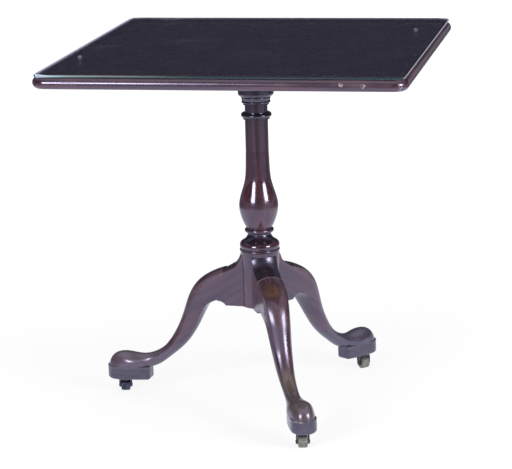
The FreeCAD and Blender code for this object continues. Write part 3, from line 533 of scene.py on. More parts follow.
def dark_sweep(out, rubbed, foot_tone):
    """Painted shade in the hollow above the knee, a painted highlight along its lip, and a scuffed foot.
    """
    # Shares of the painted shade in the hollow and of the painted highlight on the lip; the side legs
    # get less.
    sweep_shade_share, lip_highlight_share = (0.85, 0.85) if rubbed else (0.5, 0.35)

    def shade(spot, normal, colour, rough, coat):
        z = parts_of(spot)[2]
        if rubbed:
            colour = rubbed_at(KNEE_AT, KNEE_RADIUS, spot, 0.55, colour, KNEE_BROWN)
        scuffed = times(span(z, *SCUFFED_Z), span(noise(spot, 70.0, 4.0), 0.25, 0.6, 0.5, 0.9))
        colour = blend(scuffed, colour, foot_tone)
        if rubbed:
            colour = rubbed_at(ANKLE_AT, ANKLE_RADIUS, spot, 0.6, colour, ANKLE_BROWN)
            across = measure("DOT_PRODUCT", spot, (-out.y, out.x, 0.0))
            dull = times(between(z, DULL_LOW, DULL_HIGH, DULL_SOFT), span(across, 0.003, -0.003))
            # Painted shade: the dull stretch is also darkened in colour, besides losing its gloss.
            colour = blend(times(dull, 0.5), colour, DULL_SHADE_TONE)
            rough, coat = raised(rough, dull, 0.25), lowered(coat, dull, 1.0)
        coat = lowered(coat, scuffed, 0.4)
        reach = measure("DOT_PRODUCT", spot, out)
        facing_up = span(parts_of(normal)[2], 0.02, 0.12)
        # Painted shade: the hollow above the knee is darkened towards near black, and its polish is
        # dulled.
        painted_hollow_shade = times(span(reach, LIP_AT, LIP_AT - 0.002), facing_up)
        colour = blend(times(painted_hollow_shade, sweep_shade_share), colour, PAINTED_SHADE)
        rough, coat = raised(rough, painted_hollow_shade, 0.06), lowered(coat, painted_hollow_shade, 0.5)
        # Painted highlight: a thin pale line along the knee's lip.
        lip = span(absolute(minus(reach, LIP_AT + 0.0008)), 0.0013, 0.0004)
        lip = times(lip, span(z, LIP_Z - 0.004, LIP_Z), lip_highlight_share)
        return blend(lip, colour, BARE_WOOD_AND_LIP_HIGHLIGHT), rough, coat

    return shade


def flaked_edge(spot, normal, colour, rough, coat):
    edge = span(parts_of(spot)[2], BLOCK_TOP - 0.007, BLOCK_TOP - 0.002)
    lost = use(chips, {"Vector": spot, "Size": 190.0, "Where": edge})["Mask"]
    loose = plus(near(spot, FLAKED_AT, FLAKED_RADIUS), FLAKED_ELSEWHERE, clamp=True)
    return laid_bare(times(lost, loose), colour, rough)


print("leg finishes ready")

# %% Legs
LEG_AZIMUTHS = {"left": 175.0, "front": 295.4, "right": 56.5}
LEG_SLOPE = math.radians(33.0)
FOOT_TONES = {"left": (0.120, 0.092, 0.112), "front": (0.128, 0.099, 0.100),
              "right": (0.086, 0.072, 0.104)}

for foot, degrees in LEG_AZIMUTHS.items():
    out = Vector((*bearing(degrees), 0.0))
    slope = out * math.cos(LEG_SLOPE) - UPWARDS * math.sin(LEG_SLOPE)
    rubbed = foot == "front"
    warmth = 0.35 if rubbed else 0.25
    dress(varnished_wood("mahogany_leg_" + foot, grain_along(slope, degrees / 50), warmth, 0.08,
                         LEG_TONES, dark_sweep(out, rubbed, FOOT_TONES[foot])), "leg_" + foot)
    dress(varnished_wood("mahogany_foot_" + foot, grain_along(out, degrees / 31), 0.2, 0.06,
                         BLOCK_TONES, flaked_edge), "foot_block_" + foot)
print("legs dressed", list(LEG_AZIMUTHS))

# %% [markdown]
# A carver scrapes the hollow above each knee deeper than the saw leaves it, and rounds it like the hub
# it runs up to, so that it catches the lamps near its top. Each leg is therefore shown by a copy of its
# mesh. Upright cuts along the hollow give it enough points, and every point then moves by three rules:
# a rise behind the lip, a cove below the hub, and a crown that falls away to both sides.

# %% Carving helpers
HOLLOW_START, HOLLOW_END = 0.0385, 0.0732
HOLLOW_LOW, HOLLOW_TOP = 0.2655, 0.3042
SLOPING_FROM, SLOPING_TO, SAME_FACING = 0.1, 0.9, 0.9999
SAME_PLACE, SAME_PLANE = 0.000001, 0.0001


def hollow_faces(shape, out):
    """The sloping faces between the hub and the knee's lip."""
    found = []
    for face in shape.faces:
        centre = face.calc_center_median()
        behind_lip = centre.dot(out) < HOLLOW_END + SAME_PLANE and centre.z > HOLLOW_LOW
        if behind_lip and SLOPING_FROM < face.normal.z < SLOPING_TO:
            found.append(face)
    return found


def corners_of(faces):
    return list(dict.fromkeys(vertex for face in faces for vertex in face.verts))


def join_flat(shape, facing, level):
    """Makes one face of a flat stretch, so that no small triangle folds when its edge is moved."""
    flat = [face for face in shape.faces if face.normal.dot(facing) > SAME_FACING
            and abs(face.calc_center_median().dot(facing) - level) < SAME_PLANE]
    bmesh.ops.dissolve_faces(shape, faces=flat)


def face_corners(mesh, face):
    """The corner numbers of a face, and where each corner lies."""
    spots = [tuple(round(value, 6) for value in mesh.vertices[index].co) for index in face.vertices]
    return list(face.loop_indices), spots


def keep_solid_normals(mesh, solid):
    """Faces that the carving left alone get the solid's own normals, so the polish runs on smoothly."""
    exact = {}
    for face in solid.polygons:
        corners, spots = face_corners(solid, face)
        normals = [solid.corner_normals[number].vector.copy() for number in corners]
        exact[frozenset(spots)] = dict(zip(spots, normals))
    normals = [corner.vector.copy() for corner in mesh.corner_normals]
    kept = 0
    for face in mesh.polygons:
        corners, spots = face_corners(mesh, face)
        known = exact.get(frozenset(spots))
        if known:
            kept += 1
            for number, spot in zip(corners, spots):
                normals[number] = known[spot]
    mesh.normals_split_custom_set(normals)
    return kept


print("carving helpers ready")

# %% Carved hollows
LIP_RISE, RISE_ENDS = 0.0046, 0.6
COVE, COVE_STARTS = 0.0020, 0.5
CROWN_AT_LIP, CROWN, CROWN_FULL = 8.4, 11.5, 0.4
TIP_AT_LIP, TIP_TURN = 90.0, 70.0
CUT_STEP, CUTS_EACH_SIDE = 0.0025, 9
LEG_HALF = 0.025
CREASE = math.radians(30.0)


def carved_leg(foot, degrees):
    solid = nodes["leg_" + foot].data
    out = Vector((*bearing(degrees), 0.0))
    side = Vector((-out.y, out.x, 0.0))
    shape = bmesh.new()
    shape.from_mesh(solid)
    bmesh.ops.remove_doubles(shape, verts=shape.verts, dist=SAME_PLACE)
    for number in range(-CUTS_EACH_SIDE, CUTS_EACH_SIDE + 1):
        faces = hollow_faces(shape, out)
        edges = list(dict.fromkeys(edge for face in faces for edge in face.edges))
        bmesh.ops.bisect_plane(shape, geom=faces + edges + corners_of(faces), dist=0.1 * SAME_PLACE,
                               plane_co=side * (CUT_STEP * number), plane_no=side)
    flats = ((side, LEG_HALF), (-side, LEG_HALF), (-out, -HOLLOW_END), (UPWARDS, HOLLOW_TOP))
    for facing, level in flats:
        join_flat(shape, facing, level)
    for vertex in corners_of(hollow_faces(shape, out)):
        share = (HOLLOW_END - vertex.co.dot(out)) / (HOLLOW_END - HOLLOW_START)
        share = min(max(share, 0.0), 1.0)
        tip = math.radians(TIP_AT_LIP - TIP_TURN * share)
        outward = math.cos(tip) * out + math.sin(tip) * UPWARDS
        crown = CROWN_AT_LIP + (CROWN - CROWN_AT_LIP) * min(share / CROWN_FULL, 1.0)
        rise = LIP_RISE * max(1.0 - share / RISE_ENDS, 0.0)
        in_cove = min((1.0 - share) / (1.0 - COVE_STARTS), 1.0)
        cove = COVE * math.sin(math.pi * in_cove) if in_cove < 1.0 else 0.0
        vertex.co += outward * (rise - cove - crown * vertex.co.dot(side) ** 2)
    bmesh.ops.triangulate(shape, faces=[face for face in shape.faces if len(face.verts) > 4])
    mesh = bpy.data.meshes.new("carved_leg_" + foot)
    shape.to_mesh(mesh)
    shape.free()
    if "custom_normal" in mesh.attributes:
        mesh.attributes.remove(mesh.attributes["custom_normal"])
    mesh.shade_smooth()
    mesh.set_sharp_from_angle(angle=CREASE)
    print("faces left alone on the", foot, "leg:", keep_solid_normals(mesh, solid))
    mesh.materials.clear()
    mesh.materials.append(solid.materials[0])
    return in_scene("carved_leg_" + foot, mesh)


for foot, degrees in LEG_AZIMUTHS.items():
    leg = carved_leg(foot, degrees)
    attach(leg, "pedestal")
    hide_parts("leg_" + foot)
    print(leg.name, len(leg.data.polygons), "faces")

# %% [markdown]
# ## Tray board
# The board lies under the glass and shows as a near-black field with faint brown clouds, and one
# brown stain in front of the middle. Its underside was planed and left without polish.

# %% Board
BOARD_TONES = ((0.006, 0.004, 0.005), (0.017, 0.009, 0.009), (0.075, 0.040, 0.024))
RAW_TONES = ((0.022, 0.011, 0.008), (0.060, 0.029, 0.019), (0.085, 0.045, 0.026))
STAIN_AT, STAIN_RADIUS, STAIN_BROWN = (0.01, -0.099, 0.709), 0.09, (0.12, 0.062, 0.036)
board_grain = grain_along((1, 0, 0), 1.7)


def stained(spot, normal, colour, rough, coat):
    patch = span(noise(spot, 30.0, 4.0, 0.6), 0.35, 0.65)
    colour = blend(times(near(spot, STAIN_AT, STAIN_RADIUS), patch), colour, STAIN_BROWN)
    below = span(parts_of(normal)[2], -0.3, -0.8)
    raw = figured(board_grain(spot), RAW_TONES, 0.3)
    return blend(below, colour, raw["Color"]), raised(rough, below, 0.35), lowered(coat, below, 1.0)


dress(varnished_wood("mahogany_board", board_grain, 0.8, 0.04, BOARD_TONES, stained), "tray_board")
print("board dressed")

# %% [markdown]
# ## Pieces that follow a rule
# A moulding is one section swept along a path, a wheel is one outline turned about an axle, and all
# slotted screws are one screw in many places. Geometry Nodes state each of these rules once. A tree
# has named inputs, so a size can change without touching the rule. The finished piece is kept as a
# plain mesh, because a modifier's result is not kept in an exported file.

# %% Running a geometry tree
def new_rule(name, inputs):
    return new_group(name, "GeometryNodeTree", inputs, {"Geometry": GEOMETRY})


def geo(kind, inputs, rule=None, **options):
    """The first output of a new geometry node; one without links has to be told its rule."""
    return put("GeometryNode" + kind, inputs, rule, **options).outputs[0]


def close_rule(rule, result, shape, material, sharp=30.0):
    """Ends a tree: smooth faces with sharp edges, real geometry, one material."""
    crease = calc("GREATER_THAN", geo("InputMeshEdgeAngle", {}, rule), math.radians(sharp))
    shape = geo("RealizeInstances", {"Geometry": shape})
    shape = geo("SetShadeSmooth", {"Geometry": shape, "Shade Smooth": True}, domain="FACE")
    shape = geo("SetShadeSmooth", {"Geometry": shape, "Selection": crease, "Shade Smooth": False},
                domain="EDGE")
    give(result, {"Geometry": geo("SetMaterial", {"Geometry": shape, "Material": material})})


def grow(name, rule, values, seats=((0.0, 0.0, 0.0),), marks=None):
    """Runs a tree on the seats and keeps the result as a plain mesh."""
    start = bpy.data.meshes.new(name)
    start.from_pydata(seats, [], [])
    for mark, (kind, field, entries) in (marks or {}).items():
        start.attributes.new(mark, kind, "POINT").data.foreach_set(field, entries)
    piece = in_scene(name, start)
    modifier = piece.modifiers.new(rule.name, "NODES")
    modifier.node_group = rule
    names = {item.name: item.identifier for item in rule.interface.items_tree if item.in_out == "INPUT"}
    for socket, value in values.items():
        modifier[names[socket]] = value
    evaluated = piece.evaluated_get(bpy.context.evaluated_depsgraph_get())
    mesh = bpy.data.meshes.new_from_object(evaluated)
    piece.modifiers.remove(modifier)
    piece.data = mesh
    axes = list(zip(*(vertex.co for vertex in mesh.vertices)))
    low, high = ([round(end(axis), 4) for axis in axes] for end in (min, max))
    print(name, len(mesh.polygons), "faces from", low, "to", high)
    return piece


print("rule helpers ready")

# %% [markdown]
# ## Tray rim
# On the real tray four lengths of moulding were planed with one round-nosed section and mitred at the
# corners. Here the section is drawn once with lines and three-point arcs, and swept along a rectangle
# with rounded corners. The normals of the path are set to Z up, so the section stays upright all the
# way round. A seeded noise presses shallow dents into it, and only inwards, as knocks do.

# %% Rim rule
EASE_ROUND = 0.2929
RIM_STEP, RIM_MERGE = 0.0025, 0.00002
rim_rule, given, result = new_rule("swept_rim", {
    "Geometry": GEOMETRY, "Board Width": 0.65, "Board Depth": 0.698, "Board Corner": 0.0095,
    "Reach": 0.01849, "Nose": 0.007, "Low": -0.002, "High": 0.0188, "Ease": 0.002, "Base Height": 0.695,
    "Dent Depth": 0.00012, "Seed": 4.0, "Material": MATERIAL})


def line(start, end):
    return geo("CurvePrimitiveLine", {"Start": start, "End": end}, mode="POINTS")


def arc(start, middle, end, steps):
    inputs = {"Resolution": steps, "Start": start, "Middle": middle, "End": end}
    return geo("CurveArc", inputs, mode="POINTS")


def joined(*shapes):
    made = put("GeometryNodeJoinGeometry", tree=tree_of(*shapes))
    for shape in reversed(shapes):
        give(made.inputs, {0: shape})
    return made.outputs[0]


def corner(out, rise):
    """A section point: out from the board's edge, and up, which the sweep reads as minus Y."""
    return vector_of(out, times(rise, -1.0))


low, high, reach, ease = given["Low"], given["High"], given["Reach"], given["Ease"]
middle = times(plus(low, high), 0.5)
shoulder = minus(reach, given["Nose"])
eased = minus(high, ease)
turn_in = times(ease, EASE_ROUND)
section = joined(
    line(corner(0.0, low), corner(0.0, eased)),
    arc(corner(0.0, eased), corner(turn_in, minus(high, turn_in)), corner(ease, high), 5),
    line(corner(ease, high), corner(shoulder, high)),
    arc(corner(shoulder, high), corner(reach, middle), corner(shoulder, low), 17),
    line(corner(shoulder, low), corner(0.0, low)))
path = geo("CurvePrimitiveQuadrilateral", {
    "Width": given["Board Width"], "Height": given["Board Depth"]}, mode="RECTANGLE")
path = geo("FilletCurve", {
    "Curve": path, "Count": 8, "Radius": given["Board Corner"], "Limit Radius": True}, mode="POLY")
path = geo("ResampleCurve", {"Curve": path, "Length": RIM_STEP}, mode="LENGTH")
path = geo("SetCurveNormal", {"Curve": path}, mode="Z_UP")
swept = geo("CurveToMesh", {"Curve": path, "Profile Curve": section})
swept = geo("MergeByDistance", {"Geometry": swept, "Distance": RIM_MERGE})
swept = geo("Transform", {"Geometry": swept, "Translation": vector_of(z=given["Base Height"])})
knocks = put("ShaderNodeTexNoise", {"W": given["Seed"], "Scale": 16.0, "Detail": 1.0},
             noise_dimensions="4D").outputs[0]
depth = times(span(knocks, 0.58, 0.74), given["Dent Depth"])
inward = put("ShaderNodeVectorMath", {0: geo("InputNormal", {}, rim_rule), "Scale": times(depth, -1.0)},
             operation="SCALE").outputs[0]
swept = geo("SetPosition", {"Geometry": swept, "Offset": inward})
close_rule(rim_rule, result, swept, given["Material"])

# %% Rim
RIM_HALF_X, RIM_HALF_Y = 0.3435, 0.3675
RIM_CHIPS = [((0.226, -0.3672, 0.706), 0.007), ((0.265, -0.3672, 0.704), 0.008),
             ((0.327, -0.358, 0.703), 0.012)]


def from_mitre(spot):
    """How far a point lies on the side pieces' side of the mitre; below zero on the front and back."""
    x, y, _ = parts_of(spot)
    return minus(minus(absolute(x), RIM_HALF_X), minus(absolute(y), RIM_HALF_Y))


def grain_round_rim(spot):
    x, y, z = parts_of(spot)
    on_side = calc("GREATER_THAN", from_mitre(spot), 0.0)
    across, down = vector_of(plus(y, 2.3), z, x), vector_of(plus(x, 4.1), z, y)
    return put("ShaderNodeMix", {0: on_side, 4: across, 5: down}, data_type="VECTOR").outputs[1]


def mitred_and_chipped(spot, normal, colour, rough, coat):
    joint = span(absolute(from_mitre(spot)), 0.0008, 0.0003)
    colour = blend(times(joint, 0.8), colour, PORE_DARK)
    chipped = 0.0
    for centre, radius in RIM_CHIPS:
        chipped = largest(chipped, near(spot, centre, radius))
    lost = use(chips, {"Vector": spot, "Size": 240.0, "Where": chipped})["Mask"]
    return laid_bare(lost, colour, rough)


rim_wood = varnished_wood("mahogany_rim", grain_round_rim, 0.4, 0.0, extra=mitred_and_chipped,
                          ridges=0.006)
tray_rim = grow("tray_rim", rim_rule, {"Material": rim_wood})
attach(tray_rim, "top")
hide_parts("rim_front", "rim_right", "rim_back", "rim_left")

# %% [markdown]
# ## Glass
# The plate is ordinary float glass: clear through its thickness and blue-green through its width.
# A volume that soaks up red light along the path of each ray gives both from one material. Light that
# is trapped in a plate runs to its edges after dozens of inner reflections, more than a render follows.
# So the upright faces get a faint painted glow of that colour. Painted highlights lie on the right edge
# and along the front's upper arris near the left lamp. The ground bevels at the left and the back carry
# a painted sheen, with a painted glint near the back left. Finger smears only change the roughness. The
# plate lies on the rim, and two clear pads, whose cores carry a painted glow, stop it sliding. Seen from
# behind, the flat top would mirror a whole soft box and go white. A photographer turns a polarising
# filter against that, and light linking does the same here: the lamps leave out the glass.

# %% Glass plate
SMEARS = [((-0.283, -0.02, 0.72), 0.05), ((-0.119, 0.048, 0.72), 0.07), ((-0.245, 0.345, 0.72), 0.03)]
CLEAR, BODY_GREEN, BODY_DENSITY = (0.96, 0.985, 0.98), (0.45, 0.80, 0.80), 6.0
# Painted light on the plate: a glow on the upright faces, highlights on the right edge and the front
# arris, sheen on the bevels and a glint near the back left.
NO_GLOW, SIDE_GLOW, RIGHT_GLOW = (0.0, 0.0, 0.0), (0.034, 0.048, 0.058), (0.27, 0.29, 0.32)
ARRIS_GLOW, BEVEL_GLOW, GLINT_GLOW = (0.42, 0.45, 0.48), (0.25, 0.25, 0.33), (0.5, 0.5, 0.54)
ARRIS_Z, ARRIS_FADES, ARRIS_STARTS = (0.7160, 0.7180), (-0.02, -0.28), (-0.334, -0.318)
LEFT_BEVEL, BACK_BEVEL = (-0.3290, -0.3375), (0.3560, 0.3615)
GLINT_AT, GLINT_RADIUS = (-0.225, 0.357, 0.72), 0.035

plate_glass, spot, normal = new_material("plate_glass")
x, y, z = parts_of(spot)
facing_x, facing_y, facing_z = parts_of(normal)
smear = noise(stretched(spot, (1.0, 2.2, 1.0)), 9.0, 5.0, 0.6, 0.3)
rough = span(smear, 0.35, 0.75, 0.01, 0.04)
for centre, radius in SMEARS:
    rough = plus(rough, times(near(spot, centre, radius), span(smear, 0.4, 0.6, 0.0, 0.16)))
edge_glow = blend(span(facing_x, 0.6, 0.95), SIDE_GLOW, RIGHT_GLOW)
# Painted highlight along the front's upper arris, near the left lamp.
arris_highlight = times(span(z, *ARRIS_Z), span(x, *ARRIS_FADES), span(x, *ARRIS_STARTS),
              span(facing_y, -0.6, -0.95))
edge_glow = blend(arris_highlight, edge_glow, ARRIS_GLOW)
# Painted sheen on the ground bevels at the left and the back, and a painted glint near the back left.
bevel_sheen = largest(span(x, *LEFT_BEVEL), span(y, *BACK_BEVEL, 0.0, 0.3))
bevel_glow = blend(bevel_sheen, NO_GLOW, BEVEL_GLOW)
bevel_glow = blend(times(near(spot, GLINT_AT, GLINT_RADIUS), bevel_sheen), bevel_glow, GLINT_GLOW)
upright_face = span(absolute(facing_z), 0.75, 0.25)
body = put("ShaderNodeVolumeAbsorption", {"Color": BODY_GREEN, "Density": BODY_DENSITY},
           plate_glass.node_tree)
principled({
    "Base Color": CLEAR, "Roughness": rough, "IOR": 1.5, "Transmission Weight": 1.0,
    "Emission Color": blend(upright_face, bevel_glow, edge_glow), "Emission Strength": 1.0}, body)
dress(plate_glass, "glass_plate")

glare_free = bpy.data.collections.new("glare_free")
glare_free.objects.link(nodes["glass_plate"])
glare_free.collection_objects[0].light_linking.link_state = "EXCLUDE"
for lamp in soft_boxes:
    lamp.light_linking.receiver_collection = glare_free
print("glass dressed")

# %% Glass pads
# Painted highlight: each pad's core glows pale, and its rim only faintly.
PAD_TOPS, PAD_CORE = [(-0.308, -0.147, 0.714), (0.287, 0.211, 0.714)], 0.0042
PAD_GREY, PAD_PALE = (0.86, 0.88, 0.9), (0.96, 0.97, 0.98)
PAD_RIM_GLOW, PAD_CORE_GLOW = (0.03, 0.033, 0.04), (0.36, 0.33, 0.42)

pad_rubber, spot, _ = new_material("clear_pad")
haze = noise(spot, 400.0)
painted_core_glow = 0.0
for centre in PAD_TOPS:
    painted_core_glow = largest(painted_core_glow, near(spot, centre, PAD_CORE))
principled({
    "Base Color": blend(haze, PAD_GREY, PAD_PALE), "Roughness": span(haze, 0.3, 0.7, 0.2, 0.4),
    "IOR": 1.45, "Emission Color": blend(painted_core_glow, PAD_RIM_GLOW, PAD_CORE_GLOW), "Emission Strength": 1.0})
dress(pad_rubber, "glass_pads")
print("pads dressed")

# %% [markdown]
# ## Underframe
# The underside was never polished: battens, block and pins are dull brown wood.

# %% Underframe wood
PLAIN_TONES = ((0.045, 0.02, 0.012), (0.12, 0.058, 0.034), (0.19, 0.105, 0.055))


def plain_wood(name, grain):
    material, spot, _ = new_material(name)
    wood = figured(grain(spot), PLAIN_TONES, 0.6)
    principled({"Base Color": wood["Color"], "Roughness": span(wood["Cloud"], 0.3, 0.7, 0.5, 0.72),
                "Normal": bumped(wood["Height"], 0.35, 0.0006)})
    return material


dress(plain_wood("underframe_along_x", grain_along((1, 0, 0), 0.4)), "batten_front", "batten_back")
dress(plain_wood("underframe_along_y", grain_along((0, 1, 0), 0.9)),
      "tilt_block", "pivot_pin_front", "pivot_pin_back", "tenon_wedge")
print("underframe dressed")

# %% [markdown]
# ## Metals
# The bolt under the top is aged brass. The caster wheels are tarnished to a greenish grey, and the left
# one is painted dark bluish as shade. The horns and plates are dark iron. One function ages a metal: a
# bright and a dull colour in blotches, with fine pits.

# %% Metal finishes
def old_metal(name, bright, dull, amount, dullness=0.0):
    material, spot, _ = new_material(name)
    aged = use(tarnish, {"Vector": spot, "Bright": bright, "Dull": dull, "Amount": amount})
    principled({"Base Color": aged["Color"], "Roughness": plus(aged["Roughness"], dullness),
                "Normal": bumped(aged["Height"], 0.12, 0.0002), "Metallic": 1.0})
    return material


latch_brass = old_metal("aged_brass", (0.62, 0.45, 0.2), (0.24, 0.17, 0.08), 0.7)
wheel_brass = old_metal("tarnished_brass", (0.40, 0.40, 0.34), (0.25, 0.25, 0.21), 0.8, 0.3)
# Painted shade: the left wheel, which sits in shade, gets brass painted dark bluish.
painted_shade_brass = old_metal("painted_shade_brass", (0.13, 0.14, 0.20), (0.030, 0.034, 0.058), 0.9)
dark_iron = old_metal("dark_iron", (0.15, 0.15, 0.17), (0.033, 0.032, 0.038), 0.85)
screw_steel = old_metal("screw_steel", (0.42, 0.41, 0.4), (0.14, 0.12, 0.1), 0.6)
dress(latch_brass, "latch_plate", "latch_bolt", "latch_knob", "strike_plate")
dress(dark_iron, "leg_brace")
for foot in LEG_AZIMUTHS:
    dress(dark_iron, "caster_horn_" + foot, "caster_axle_" + foot, "caster_plate_" + foot)
print("metals dressed")

# %% [markdown]
# ## Turned pieces
# Wheels and screws both come off a lathe. A lathe in nodes is a sweep of half an outline round a very
# small circle, and merging the points on the axis closes the ends.

# %% Lathe rule
AXIS_RADIUS, AXIS_MERGE = 0.000001, 0.000005
lathe, given, result = new_rule("lathe", {"Outline": GEOMETRY, "Segments": 32})
axis = geo("CurvePrimitiveCircle", {"Resolution": given["Segments"], "Radius": AXIS_RADIUS},
           mode="RADIUS")
axis = geo("SetCurveNormal", {"Curve": axis}, mode="Z_UP")
turned = geo("CurveToMesh", {"Curve": axis, "Profile Curve": given["Outline"]})
give(result, {"Geometry": geo("MergeByDistance", {"Geometry": turned, "Distance": AXIS_MERGE})})

# %% [markdown]
# The wheel is a small brass barrel. Its outline is a row of points: the radius stays at the full size,
# rounds off towards both faces, and sinks a little in evenly spaced grooves that the lathe tool left.
# The first and the last point go in to the bore, and a closed outline makes the hole for the axle.

# %% Wheel rule
POINTS, WHEEL_SEGMENTS = 90, 56
GROOVE_SHARPNESS = 14.0
WHEEL_CREASE = 40.0
wheel_rule, given, result = new_rule("barrel_wheel", {
    "Geometry": GEOMETRY, "Diameter": 0.02399, "Width": 0.018, "Edge": 0.0032, "Bore": 0.0041,
    "Grooves": 4.0, "Groove Depth": 0.00035, "Place": VECTOR, "Axle": VECTOR, "Material": MATERIAL})
index = geo("InputIndex", {}, wheel_rule)
side = minus(times(calc("DIVIDE", minus(index, 1.0), POINTS - 3.0, clamp=True), 2.0), 1.0)
half = times(given["Width"], 0.5)
across = times(side, half)
past = minus(absolute(across), minus(half, given["Edge"]))
share = calc("DIVIDE", past, given["Edge"], clamp=True)
round_off = times(minus(1.0, calc("SQRT", minus(1.0, times(share, share)))), given["Edge"])
wave = absolute(calc("COSINE", times(side, given["Grooves"], math.pi / 2)))
groove = times(calc("POWER", wave, GROOVE_SHARPNESS), given["Groove Depth"])
radius = minus(minus(times(given["Diameter"], 0.5), round_off), groove)
at_bore = largest(calc("LESS_THAN", index, 0.5), calc("GREATER_THAN", index, POINTS - 1.5))
radius = put("ShaderNodeMix", {0: at_bore, 2: radius, 3: times(given["Bore"], 0.5)}).outputs[0]
outline = geo("MeshLine", {"Count": POINTS}, wheel_rule)
outline = geo("SetPosition", {"Geometry": outline, "Position": vector_of(radius, across)})
outline = geo("MeshToCurve", {"Mesh": outline})
outline = geo("SetSplineCyclic", {"Geometry": outline, "Cyclic": True})
wheel = geo("Group", {"Outline": outline, "Segments": WHEEL_SEGMENTS}, node_tree=lathe)
lean = put("FunctionNodeAlignRotationToVector", {"Vector": given["Axle"]}, axis="Z").outputs[0]
wheel = geo("Transform", {"Geometry": wheel, "Translation": given["Place"], "Rotation": lean})
close_rule(wheel_rule, result, wheel, given["Material"], WHEEL_CREASE)

# %% Wheels
CASTER_RADIUS = 0.2935
TRAIL = 0.008
WHEEL_Z = 0.012
HEADINGS = {"left": 100.0, "front": 282.0, "right": 312.0}
for foot, degrees in LEG_AZIMUTHS.items():
    (leg_x, leg_y), (head_x, head_y) = bearing(degrees), bearing(HEADINGS[foot])
    where = (CASTER_RADIUS * leg_x + TRAIL * head_x, CASTER_RADIUS * leg_y + TRAIL * head_y, WHEEL_Z)
    # The left wheel takes the brass painted dark as shade.
    brass = painted_shade_brass if foot == "left" else wheel_brass
    values = {"Place": where, "Axle": (-head_y, head_x, 0.0), "Material": brass}
    wheel = grow("barrel_wheel_" + foot, wheel_rule, values)
    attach(wheel, "wheel_" + foot)
    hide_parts("caster_wheel_" + foot)

# %% [markdown]
# A wood screw is a countersunk head, a shank and a point, with a slot sawn across the head. No two
# slots end up at the same angle, so each copy is turned by a seeded random angle. Large screws hold
# the battens and the iron brace, small ones the bolt and the casters. A point for each screw carries
# its direction and its size as attributes.

# %% Screw rule
SCREW_SEGMENTS = 28
screw_rule, given, result = new_rule("slotted_screws", {
    "Geometry": GEOMETRY, "Large Head": 0.009, "Large Shank": 0.0048, "Large Length": 0.038,
    "Small Head": 0.006, "Small Shank": 0.003, "Small Length": 0.010, "Slot Width": 0.001,
    "Slot Depth": 0.0012, "Seed": 3, "Material": MATERIAL})


def one_screw(head, shank, length):
    """Outline by index: tip, end of shank, neck, rim, centre of the face; then turned and slotted."""
    half_head, half_shank, tip = times(head, 0.5), times(shank, 0.5), times(length, -1.0)
    spots = [vector_of(0.0, tip), vector_of(half_shank, plus(tip, shank)),
             vector_of(half_shank, minus(half_shank, half_head)), vector_of(half_head),
             put("ShaderNodeCombineXYZ", tree=screw_rule).outputs[0]]
    pick = put("GeometryNodeIndexSwitch", tree=screw_rule, data_type="VECTOR")
    while len(pick.index_switch_items) < len(spots):
        pick.index_switch_items.new()
    give(pick.inputs, dict(enumerate([geo("InputIndex", {}, screw_rule), *spots])))
    outline = geo("MeshLine", {"Count": len(spots)}, screw_rule)
    outline = geo("SetPosition", {"Geometry": outline, "Position": pick.outputs[0]})
    outline = geo("MeshToCurve", {"Mesh": outline})
    blank = geo("Group", {"Outline": outline, "Segments": SCREW_SEGMENTS}, node_tree=lathe)
    size = vector_of(times(head, 1.2), given["Slot Width"], times(given["Slot Depth"], 2.0))
    saw = geo("MeshCube", {"Size": size})
    return geo("MeshBoolean", {"Mesh 1": blank, "Mesh 2": saw}, operation="DIFFERENCE")


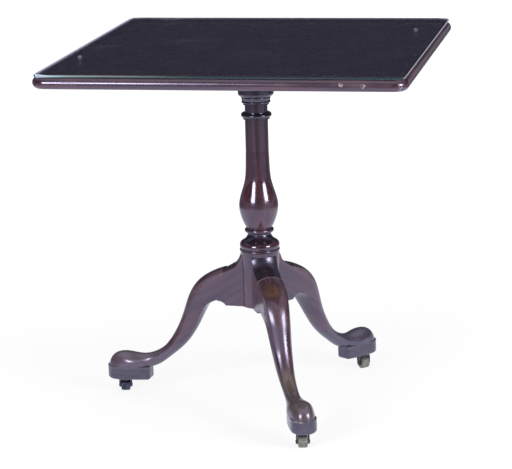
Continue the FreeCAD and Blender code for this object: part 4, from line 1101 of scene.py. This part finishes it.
way_in = geo("InputNamedAttribute", {"Name": "way_in"}, screw_rule, data_type="FLOAT_VECTOR")
large = geo("InputNamedAttribute", {"Name": "large"}, screw_rule, data_type="BOOLEAN")
upright = put("FunctionNodeAlignRotationToVector", {"Vector": way_in}, axis="Z").outputs[0]
angle = put("FunctionNodeRandomValue", {2: 0.0, 3: math.pi, "Seed": given["Seed"]},
            data_type="FLOAT").outputs[1]
spin = put("FunctionNodeAxisAngleToRotation", {"Axis": UPWARDS, "Angle": angle}).outputs[0]
facing = put("FunctionNodeRotateRotation", {"Rotation": upright, "Rotate By": spin},
             rotation_space="LOCAL").outputs[0]
sets = []
for chosen, kind in ((large, "Large"), (minus(1.0, large), "Small")):
    shape = one_screw(given[kind + " Head"], given[kind + " Shank"], given[kind + " Length"])
    sets.append(geo("InstanceOnPoints", {
        "Points": given["Geometry"], "Selection": chosen, "Instance": shape, "Rotation": facing}))
close_rule(screw_rule, result, joined(*sets), given["Material"])

# %% Screws
UP, IN = (0.0, 0.0, 1.0), (1.0, 0.0, 0.0)
BATTEN_Z, LATCH_Z, STRIKE_Z, BRACE_Z, CASTER_Z = 0.667, 0.692, 0.6785, 0.1972, 0.0289
BATTEN_SCREW, BRACE_SCREW = 0.038, 0.032
BRACE_RING, PLATE_RING = 0.0515, 0.0125


def ring(radius, degrees, height, centre=(0.0, 0.0)):
    x, y = bearing(degrees)
    return centre[0] + radius * x, centre[1] + radius * y, height


def set_screws(name, body, entries, length, seed, *replaced):
    seats, ways, sizes = zip(*entries)
    marks = {"way_in": ("FLOAT_VECTOR", "vector", [value for way in ways for value in way]),
             "large": ("BOOLEAN", "value", sizes)}
    values = {"Large Length": length, "Seed": seed, "Material": screw_steel}
    screws = grow(name, screw_rule, values, seats, marks)
    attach(screws, body)
    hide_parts(*replaced)


top_entries = [((x, y, BATTEN_Z), UP, True) for x in (-0.17, 0.0, 0.17) for y in (-0.105, 0.105)]
top_entries += [((x, y, LATCH_Z), UP, False) for x in (-0.15, -0.098) for y in (-0.015, 0.015)]
set_screws("top_screws", "top", top_entries, BATTEN_SCREW, 3, "batten_screws", "latch_screws")

pedestal_entries = [((-0.085, y, STRIKE_Z), IN, False) for y in (-0.014, 0.014)]
pedestal_entries += [((0.0, 0.0, BRACE_Z), UP, True)]
for degrees in LEG_AZIMUTHS.values():
    pedestal_entries.append((ring(BRACE_RING, degrees, BRACE_Z), UP, True))
    stem = ring(CASTER_RADIUS, degrees, 0.0)
    for turn in (0, 120, 240):
        pedestal_entries.append((ring(PLATE_RING, degrees + turn, CASTER_Z, stem), UP, False))
set_screws("pedestal_screws", "pedestal", pedestal_entries, BRACE_SCREW, 8,
           "brace_screws", "strike_screws", *("caster_screws_" + foot for foot in LEG_AZIMUTHS))
